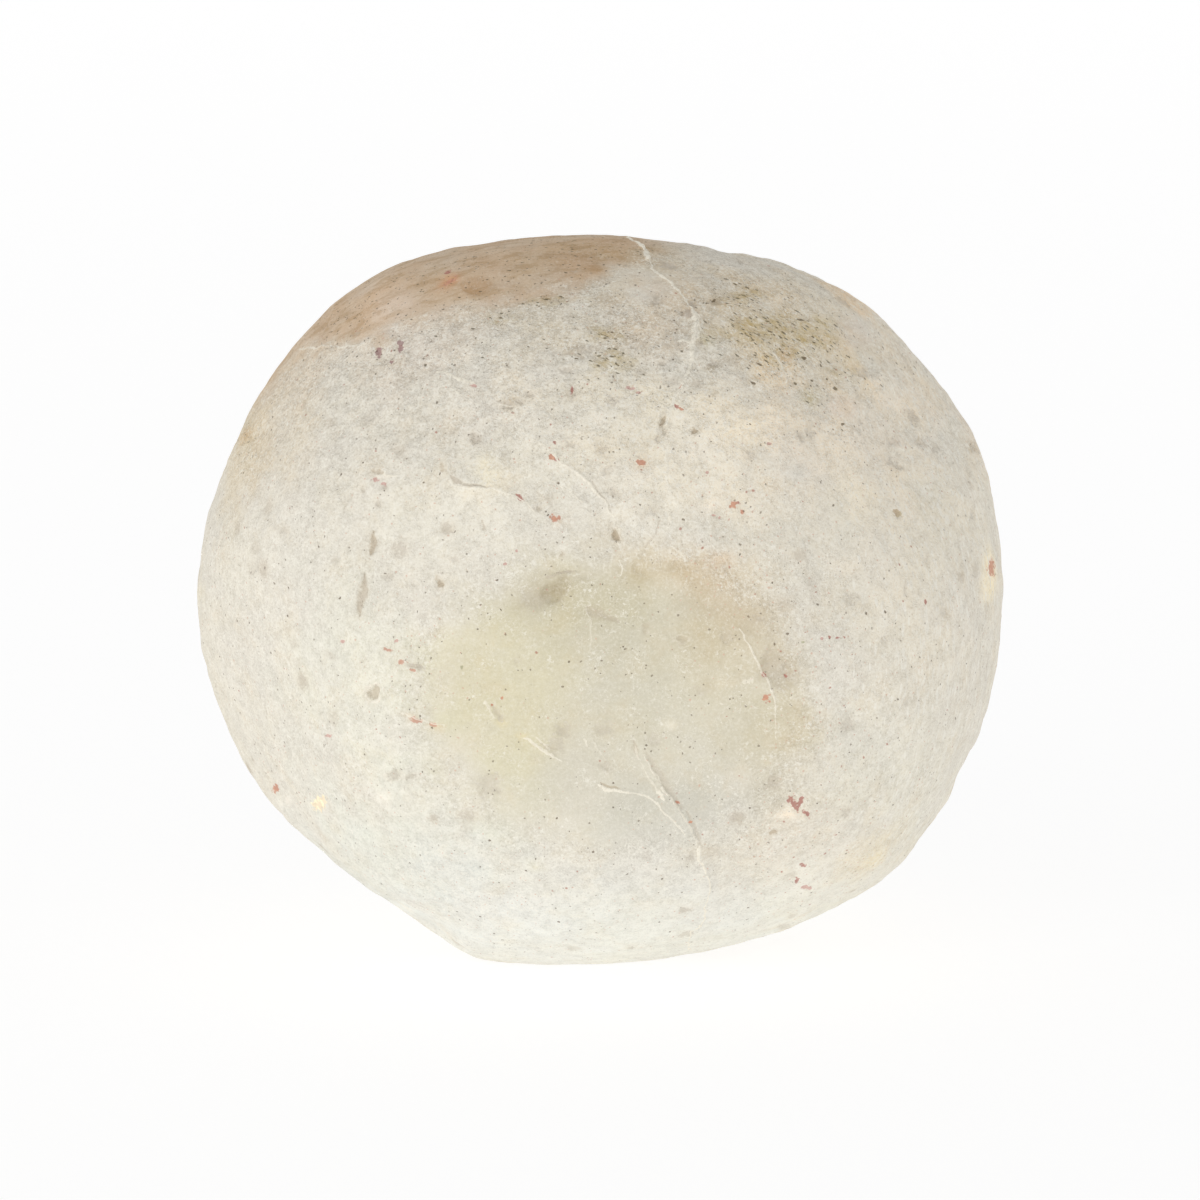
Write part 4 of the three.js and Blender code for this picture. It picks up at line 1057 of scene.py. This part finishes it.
class Nodes:
    """Short calls for the nodes of one tree. Sources are values, numbers or tuples of numbers."""

    def __init__(self, tree):
        self.tree = tree

    def add(self, kind, inputs=None, output=0, **settings):
        """Adds a node, fills its inputs and returns one of its outputs."""
        node = self.tree.nodes.new(kind)
        for name, value in settings.items():
            setattr(node, name, value)
        for name, source in (inputs or {}).items():
            self.link(source, node.inputs[name])
        return Value(self, node.outputs[output])

    def link(self, source, target):
        if isinstance(source, Value):
            self.tree.links.new(source.socket, target)
        elif isinstance(source, tuple) and len(target.default_value) == 4:
            target.default_value = (*source, 1)
        else:
            target.default_value = source

    def math(self, operation, a, b=0.0, clamp=False):
        return self.add("ShaderNodeMath", {0: a, 1: b}, operation=operation, use_clamp=clamp)

    def ramp(self, value, low, high, to_low=0.0, to_high=1.0):
        inputs = {"Value": value, "From Min": low, "From Max": high, "To Min": to_low, "To Max": to_high}
        return self.add("ShaderNodeMapRange", inputs, "Result", interpolation_type="SMOOTHSTEP")

    def mix(self, share, a, b, blend="MIX"):
        inputs = {"Factor": share, "A": a, "B": b}
        return self.add("ShaderNodeMix", inputs, "Result", data_type="RGBA", blend_type=blend)

    def stored(self, name):
        """In a tree for a mesh's form: one of the mesh's own attributes."""
        return self.add("GeometryNodeInputNamedAttribute", {"Name": name}, "Attribute", data_type="FLOAT")


def relief_inputs():
    """The sizes that the relief tree is given."""
    inputs = {}
    for name, size_mm, height_mm in LUMPS:
        inputs[name + " size"] = size_mm
        inputs[name + " height"] = height_mm
    inputs["Worn away"] = 1 - LUMPS_ON_WORN
    inputs["Full height"] = 2 * LUMPS_FULL_MM
    inputs["Seed"] = LUMPS_SEED
    return inputs


def relief_tree(material):
    """Lifts the rind along its normals by its marks' relief and by lumps of three sizes, and keeps
    how high each point stands."""
    tree = bpy.data.node_groups.new("rind_relief", "GeometryNodeTree")
    for way in ("INPUT", "OUTPUT"):
        tree.interface.new_socket("Geometry", in_out=way, socket_type="NodeSocketGeometry")
    for name, value in relief_inputs().items():
        tree.interface.new_socket(name, in_out="INPUT", socket_type="NodeSocketFloat").default_value = value
    nodes = Nodes(tree)
    geometry = nodes.add("NodeGroupInput", output="Geometry")
    given = geometry.beside
    place = nodes.add("GeometryNodeInputPosition")

    lumps = 0.0
    for number, (name, _, _) in enumerate(LUMPS):
        scale = nodes.math("DIVIDE", 1 / MM, given(name + " size"))
        inputs = {"Vector": place, "W": given("Seed") + number * LUMPS_APART, "Scale": scale, "Detail": 0.0}
        lump = nodes.add("ShaderNodeTexNoise", inputs, noise_dimensions="4D")
        lumps = nodes.math("ADD", lumps, (lump - 0.5) * LUMPS_GAIN * given(name + " height"))
    left = nodes.math("SUBTRACT", 1.0, nodes.stored("worn") * given("Worn away"))
    lumps = lumps * left
    high = nodes.math("ADD", 0.5, nodes.math("DIVIDE", lumps, given("Full height")), clamp=True)
    kept = nodes.add("GeometryNodeStoreNamedAttribute", {"Geometry": geometry, "Name": "high", "Value": high},
                     "Geometry", data_type="FLOAT", domain="POINT")

    rise = (lumps + nodes.stored("relief")) * nodes.stored("off_foot") * MM
    normal = nodes.add("GeometryNodeInputNormal")
    offset = nodes.add("ShaderNodeVectorMath", {0: normal, "Scale": rise}, operation="SCALE")
    moved = nodes.add("GeometryNodeSetPosition", {"Geometry": kept, "Offset": offset}, "Geometry")
    real = nodes.add("GeometryNodeRealizeInstances", {"Geometry": moved}, "Geometry")
    finish = nodes.add("GeometryNodeSetMaterial", {"Geometry": real, "Material": material}, "Geometry")
    nodes.link(finish, tree.nodes.new("NodeGroupOutput").inputs["Geometry"])
    return tree


def raise_relief(stone, material):
    """Runs the relief tree on the stone and keeps its result as a plain mesh."""
    tree = relief_tree(material)
    modifier = stone.modifiers.new("rind_relief", "NODES")
    modifier.node_group = tree
    for socket in tree.interface.items_tree:
        if socket.in_out == "INPUT" and socket.name in relief_inputs():
            modifier[socket.identifier] = float(relief_inputs()[socket.name])
    bpy.context.view_layer.update()
    shown = stone.evaluated_get(bpy.context.evaluated_depsgraph_get())
    plain = bpy.data.meshes.new_from_object(shown)
    plain.name = "agate_geode"
    stone.modifiers.clear()
    stone.data = plain


# ---- The rind's material ----

BASE_PALE = (0.805, 0.762, 0.662)
CLOUD_COOL = (0.975, 0.97, 0.97)
CLOUD_WARM = (1.0, 0.99, 0.965)
BLUSH = (0.98, 0.945, 0.905)
HIGH_PALE = (1.045, 1.045, 1.05)
BARE_SHADE = (0.865, 0.855, 0.84)
POWDER_SHADE = (0.81, 0.79, 0.765)
STREAK_SHADE = (0.88, 0.86, 0.84)
VEIN_PALE = (0.96, 0.905, 0.775)
VEIN_SHADE = (0.74, 0.66, 0.53)
THREAD_PALE = (0.95, 0.915, 0.815)
# painted shade round hollows, and the floor colours of pits and cracks, partly their own and partly painted
# shade
DENT_PAINTED_SHADE = (0.89, 0.855, 0.82)
GREY_FLOOR_AND_SHADE = (0.60, 0.54, 0.455)
TAN_FLOOR_AND_SHADE = (0.53, 0.43, 0.30)
PORE_DARK = (0.19, 0.13, 0.08)
STIPPLE_BROWN = (0.44, 0.36, 0.27)
GRAIN_PALE = (0.92, 0.885, 0.79)
GRAIN_RUST = (0.68, 0.42, 0.31)
OLIVE_STAIN = (0.72, 0.63, 0.39)
SKIN_BAND = (0.80, 0.74, 0.64)
DOT_RED = (0.45, 0.17, 0.12)
GASH_DARK = (0.17, 0.14, 0.08)
MINERAL_PALER = (1.25, 1.4, 1.35)
ROUGHNESS = 0.92
SPECULAR = 0.25
BUMP_STRENGTH = 0.8
BUMP_MM = 0.2


class ChalkyCoat(Nodes):
    """The rind's colour and bump, a layer at a time. colour is what the layers so far give."""

    def __init__(self, tree):
        super().__init__(tree)
        self.place = self.add("ShaderNodeTexCoord", output="Object")
        self.astray = self.strayed(self.place, 0.5, 0.2)
        self.skin, self.porous, self.streaky, self.olive_near = (
            self.field(name) for name in ("skin", "porous", "streaky", "olive"))
        self.crust = self.ramp(self.field("worn"), 0.0, 1.0, 1.0, 0.4)
        self.add_clouds()
        self.add_bare_spots()
        self.add_powder()
        self.add_bands_and_streaks()
        self.add_threads()
        self.add_grains()
        self.add_pores()
        self.add_marks()

    def field(self, name, output="Fac"):
        return self.add("ShaderNodeAttribute", output=output, attribute_name=name)

    def noise(self, size_mm, detail=2.0, rough=0.5, place=None, output="Fac"):
        inputs = {"Vector": place or self.place, "Scale": 1 / (size_mm * MM), "Detail": detail,
                  "Roughness": rough}
        return self.add("ShaderNodeTexNoise", inputs, output)

    def stretched(self, scale, turn=0):
        """The place for a pattern that is stretched by a scale along each axis, and turned about Y."""
        inputs = {"Vector": self.place, "Rotation": (0, math.radians(turn), 0), "Scale": scale}
        return self.add("ShaderNodeMapping", inputs, vector_type="TEXTURE")

    def strayed(self, place, size_mm, by_mm):
        """The place moved about by a noise, so that dots lose their round shape."""
        sway = self.noise(size_mm, 1, place=place, output="Color")
        centred = self.add("ShaderNodeVectorMath", {0: sway, 1: (0.5, 0.5, 0.5)}, operation="SUBTRACT")
        inputs = {0: centred, 1: (2 * by_mm * MM,) * 3, 2: place}
        return self.add("ShaderNodeVectorMath", inputs, operation="MULTIPLY_ADD")

    def dots(self, cell_mm, radius, share, place=None):
        """Round dots in some of the cells: 1 inside and 0 outside. radius is in cells."""
        inputs = {"Vector": place or self.astray, "Scale": 1 / (cell_mm * MM)}
        distance = self.add("ShaderNodeTexVoronoi", inputs, "Distance")
        chance = self.add("ShaderNodeSeparateColor", {0: distance.beside("Color")}, "Red")
        small = self.ramp(chance.beside("Green"), 0.0, 1.0, 1.0, 2.4)
        inside = self.ramp(distance * small, radius, 0.5 * radius)
        return inside * self.math("LESS_THAN", chance, share)

    def tone(self, share, colour):
        """Multiplies by a colour, as fully as share says."""
        self.colour = self.mix(share, self.colour, colour, "MULTIPLY")

    def cover(self, share, colour):
        self.colour = self.mix(share, self.colour, colour)

    def add_clouds(self):
        """Warmer and cooler rind, paler where it stands high, and its stains."""
        clouds = self.noise(11, 4, 0.65)
        self.blush = self.noise(5.5, 5, 0.7)
        self.colour = self.mix(self.ramp(clouds, 0.38, 0.62), CLOUD_COOL, CLOUD_WARM)
        self.tone(self.ramp(self.blush, 0.5, 0.7, 0, 0.7), BLUSH)
        self.tone(self.ramp(self.field("high"), 0.1, 0.9), HIGH_PALE)
        self.tone(1.0, BASE_PALE)
        self.tone(1.0, self.field("tint", "Color"))

    def add_bare_spots(self):
        """Greyer spots where the chalky crust is thin."""
        sway = self.noise(1.5, 5, 0.8, self.stretched((1.6, 1, 1), 14)) - 0.5
        mottle = self.noise(0.7, 4, 0.7, self.stretched((1.8, 1, 1), 24))
        olive = self.ramp(self.olive_near + sway * 3.4, 0.0, 1.5) * self.ramp(self.olive_near, 0.0, 0.9)
        self.olive = olive * self.ramp(mottle, 0.38, 0.6, 1.0, 0.45)
        self.bald = self.ramp(self.math("MAXIMUM", self.skin, self.olive * 0.8), 0.0, 1.0, 1.0, 0.35)
        self.rough = self.crust * self.bald * self.ramp(self.porous, 0.25, 0.9, 0.8, 1.35)
        self.spots = self.ramp(self.noise(1.5, 5, 0.72), 0.44, 0.72) * self.rough
        self.tone(self.spots * 0.6, BARE_SHADE)

    def add_powder(self):
        """A powdery grain, and the stain of the olive patches."""
        self.powder = self.noise(0.36, 4, 0.75)
        self.cover(self.ramp(self.powder, 0.5, 0.64) * self.rough * 0.7, GRAIN_PALE)
        self.tone(self.ramp(self.powder, 0.5, 0.34) * self.rough * 0.7, POWDER_SHADE)
        self.tone(self.olive, OLIVE_STAIN)

    def add_bands_and_streaks(self):
        """Level bands in the brown skin, and upright streaks on the right."""
        bands = self.noise(1.3, 4, 0.7, self.stretched((4, 2, 1), -12))
        self.tone(self.ramp(bands, 0.46, 0.62) * self.skin * 0.8, SKIN_BAND)
        streaks = self.noise(0.9, 3, 0.6, self.stretched((1, 1, 3.6)))
        self.tone(self.ramp(streaks, 0.52, 0.7, 0, 0.35) * self.streaky, STREAK_SHADE)
        self.cover(self.ramp(streaks, 0.46, 0.34, 0, 0.7) * self.streaky, GRAIN_PALE)

    def add_threads(self):
        """White threads, flecks and blobs in clusters, and upright dashes in the streaks."""
        clusters = self.ramp(self.noise(3.2, 3, 0.6), 0.44, 0.64)
        bunched = (clusters * 0.5 + self.rough * 0.5) * self.bald
        self.fine = self.noise(0.7, 3, 0.6)
        ridge = self.math("ABSOLUTE", self.fine - 0.5)
        self.cover(self.ramp(ridge, 0.02, 0.006) * bunched * 0.7, THREAD_PALE)
        flecks = self.ramp(self.noise(0.5, 2, 0.6), 0.6, 0.66)
        self.cover(flecks * bunched * 0.75, THREAD_PALE)
        self.cover(self.dots(1.2, 0.42, self.ramp(self.rough, 0.4, 1.0, 0, 0.55)) * 0.4, THREAD_PALE)
        upright = self.strayed(self.stretched((1, 1, 3.2)), 0.5, 0.15)
        self.cover(self.dots(0.7, 0.5, self.streaky * 0.8, upright) * 0.7, THREAD_PALE)

    def add_grains(self):
        """Brown stipple and rust-coloured grains."""
        stippled = self.ramp(self.noise(3.5, 3, 0.6), 0.35, 0.65, 0.1, 0.6)
        self.cover(self.dots(0.42, 0.42, stippled) * self.rough * 0.3, STIPPLE_BROWN)
        rusty = self.field("rusty")
        self.cover(self.dots(0.6, 0.28, rusty * 0.9) * 0.6, GRAIN_RUST)
        self.cover(self.dots(1.6, 0.15, rusty * 0.8) * 0.7, DOT_RED)

    def add_pores(self):
        """Slanting gashes, most of them in the olive patches, and dark pores."""
        slanting = self.strayed(self.stretched((2.2, 1, 1), 32), 0.5, 0.2)
        in_olive = self.ramp(self.olive_near, 0.1, 0.9, 0, 0.9)
        gashed = self.math("MAXIMUM", in_olive, self.ramp(self.porous, 0.6, 1, 0, 0.35))
        gashed = self.math("MAXIMUM", gashed, self.skin * 0.25) * self.ramp(self.blush, 0.4, 0.6, 0.6, 1)
        self.gashes = self.dots(0.42, 0.46, gashed, slanting)
        self.pores = self.dots(1.45, 0.135, self.ramp(self.porous, 0, 1, 0.4, 0.9))
        self.fine_pores = self.dots(0.8, 0.2, self.ramp(self.porous, 0, 1, 0.3, 0.9))
        self.cover(self.gashes * 0.8, GASH_DARK)
        self.cover(self.pores * 0.75, PORE_DARK)
        self.cover(self.fine_pores * 0.6, PORE_DARK)

    def add_marks(self):
        """Pit and crack floors in grey and tan, partly their own colour and partly painted shade, painted
        shade round the hollows, minerals and veins, with edges made uneven by a fine noise.
        """
        edge = self.noise(0.5, 3, 0.7) - 0.5
        deep, floor_share = self.field("hollow"), self.field("floor_share")
        floor = self.mix(self.field("tan_floor"), GREY_FLOOR_AND_SHADE, TAN_FLOOR_AND_SHADE)
        # painted shade: the rind darkens round each hollow, and the floors of pits and cracks turn grey and
        # tan, partly their own colour and partly painted shade
        self.tone(self.ramp(deep, 0.25, 0.72) * floor_share * 0.55, DENT_PAINTED_SHADE)
        self.cover(self.ramp(deep + edge * 1.3, 0.58, 0.78, 0, 0.8) * floor_share, floor)
        near = self.ramp(self.field("mineral_near") + edge * 0.75, 0.62, 0.74)
        mottled = self.ramp(self.fine, 0.48, 0.62, 0, 0.7)
        mineral = self.mix(mottled, self.field("mineral", "Color"), MINERAL_PALER, "MULTIPLY")
        self.cover(near * self.field("mineral_share"), mineral)
        # the vein field also holds the pale of pit lips, a painted highlight
        near = self.ramp(self.field("vein") + edge * 0.8, 0.62, 0.76)
        vein_colour = self.mix(self.ramp(self.powder, 0.5, 0.4, 0, 0.5), VEIN_PALE, VEIN_SHADE)
        self.cover(near * self.field("vein_share"), vein_colour)

    def bump(self):
        height = (self.powder * 0.7 * self.crust - self.spots * 0.8 - self.pores - self.fine_pores * 0.5
                  - self.gashes * 0.8)
        inputs = {"Strength": BUMP_STRENGTH, "Distance": BUMP_MM * MM, "Height": height}
        return self.add("ShaderNodeBump", inputs, "Normal")


def rind_material():
    material = bpy.data.materials.new("chalky_rind")
    material.use_nodes = True
    coat = ChalkyCoat(material.node_tree)
    shader = material.node_tree.nodes["Principled BSDF"]
    for name, source in (("Base Color", coat.colour), ("Roughness", ROUGHNESS),
                         ("Specular IOR Level", SPECULAR), ("Normal", coat.bump())):
        coat.link(source, shader.inputs[name])
    return material


# ---- The floor, the light and the camera ----

FLOOR_HALF = 40
FLOOR_GLOW = 0.74
FLOOR_PALE = (0.32, 0.32, 0.32)
SKY_LEVEL = 1.0  # how bright the surroundings are at eye level
SKY_ABOVE = 0.5  # and overhead
LAMP_PLACE = (-0.55, -0.7, 0.12)
LAMP_SIZE = 0.35
LAMP_POWER = 1.6
WHITE = (1, 1, 1, 1)


def add_object(name, data, place=(0, 0, 0), turn=(0, 0, 0)):
    holder = bpy.data.objects.new(name, data)
    holder.location = place
    holder.rotation_euler = turn
    bpy.context.scene.collection.objects.link(holder)
    return holder


def make_floor():
    mesh = bpy.data.meshes.new("floor")
    corners = [(x * FLOOR_HALF, y * FLOOR_HALF, 0) for x, y in ((-1, -1), (1, -1), (1, 1), (-1, 1))]
    mesh.from_pydata(corners, [], [(0, 1, 2, 3)])
    material = bpy.data.materials.new("pale_floor")
    material.use_nodes = True
    shader = material.node_tree.nodes["Principled BSDF"]
    for name, value in (("Base Color", (*FLOOR_PALE, 1)), ("Roughness", 1), ("Emission Color", WHITE),
                        ("Emission Strength", FLOOR_GLOW)):
        shader.inputs[name].default_value = value
    material.cycles.emission_sampling = "NONE"
    mesh.materials.append(material)
    floor = add_object("floor", mesh)


def make_light():
    """Soft surroundings, dimmer overhead, and a broad lamp low on the left."""
    world = bpy.data.worlds.new("studio")
    bpy.context.scene.world = world
    world.use_nodes = True
    nodes = Nodes(world.node_tree)
    direction = nodes.add("ShaderNodeTexCoord", output="Generated")
    upward = nodes.add("ShaderNodeSeparateXYZ", {0: direction}, "Z")
    background = world.node_tree.nodes["Background"]
    background.inputs["Color"].default_value = WHITE
    nodes.link(nodes.ramp(upward, 0.0, 1.0, SKY_LEVEL, SKY_ABOVE), background.inputs["Strength"])
    world.cycles.sampling_method = "NONE"
    lamp = bpy.data.lights.new("low_left", "AREA")
    lamp.size = LAMP_SIZE
    lamp.energy = LAMP_POWER
    aim = (STONE_MIDDLE - Vector(LAMP_PLACE)).to_track_quat("-Z", "Y")
    add_object("low_left", lamp, LAMP_PLACE, aim.to_euler())


def make_camera():
    camera = bpy.data.cameras.new("camera")
    camera.lens = LENS_MM
    camera.sensor_width = SENSOR_MM
    turn = (math.pi / 2 - VIEW_RISE, 0, 0)
    bpy.context.scene.camera = add_object("camera", camera, CAMERA_PLACE, turn)


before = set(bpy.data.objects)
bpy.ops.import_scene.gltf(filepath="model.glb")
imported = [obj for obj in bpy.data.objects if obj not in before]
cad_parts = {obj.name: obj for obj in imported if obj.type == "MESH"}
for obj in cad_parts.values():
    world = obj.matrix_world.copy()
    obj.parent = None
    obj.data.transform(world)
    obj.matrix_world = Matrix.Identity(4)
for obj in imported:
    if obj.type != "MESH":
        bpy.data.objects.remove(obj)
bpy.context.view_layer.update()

make_camera()
make_light()
make_floor()
bpy.context.scene.view_settings.view_transform = "Standard"

stone = make_stone(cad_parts["geode"], rind_material())
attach(stone, "root")
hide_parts("geode")
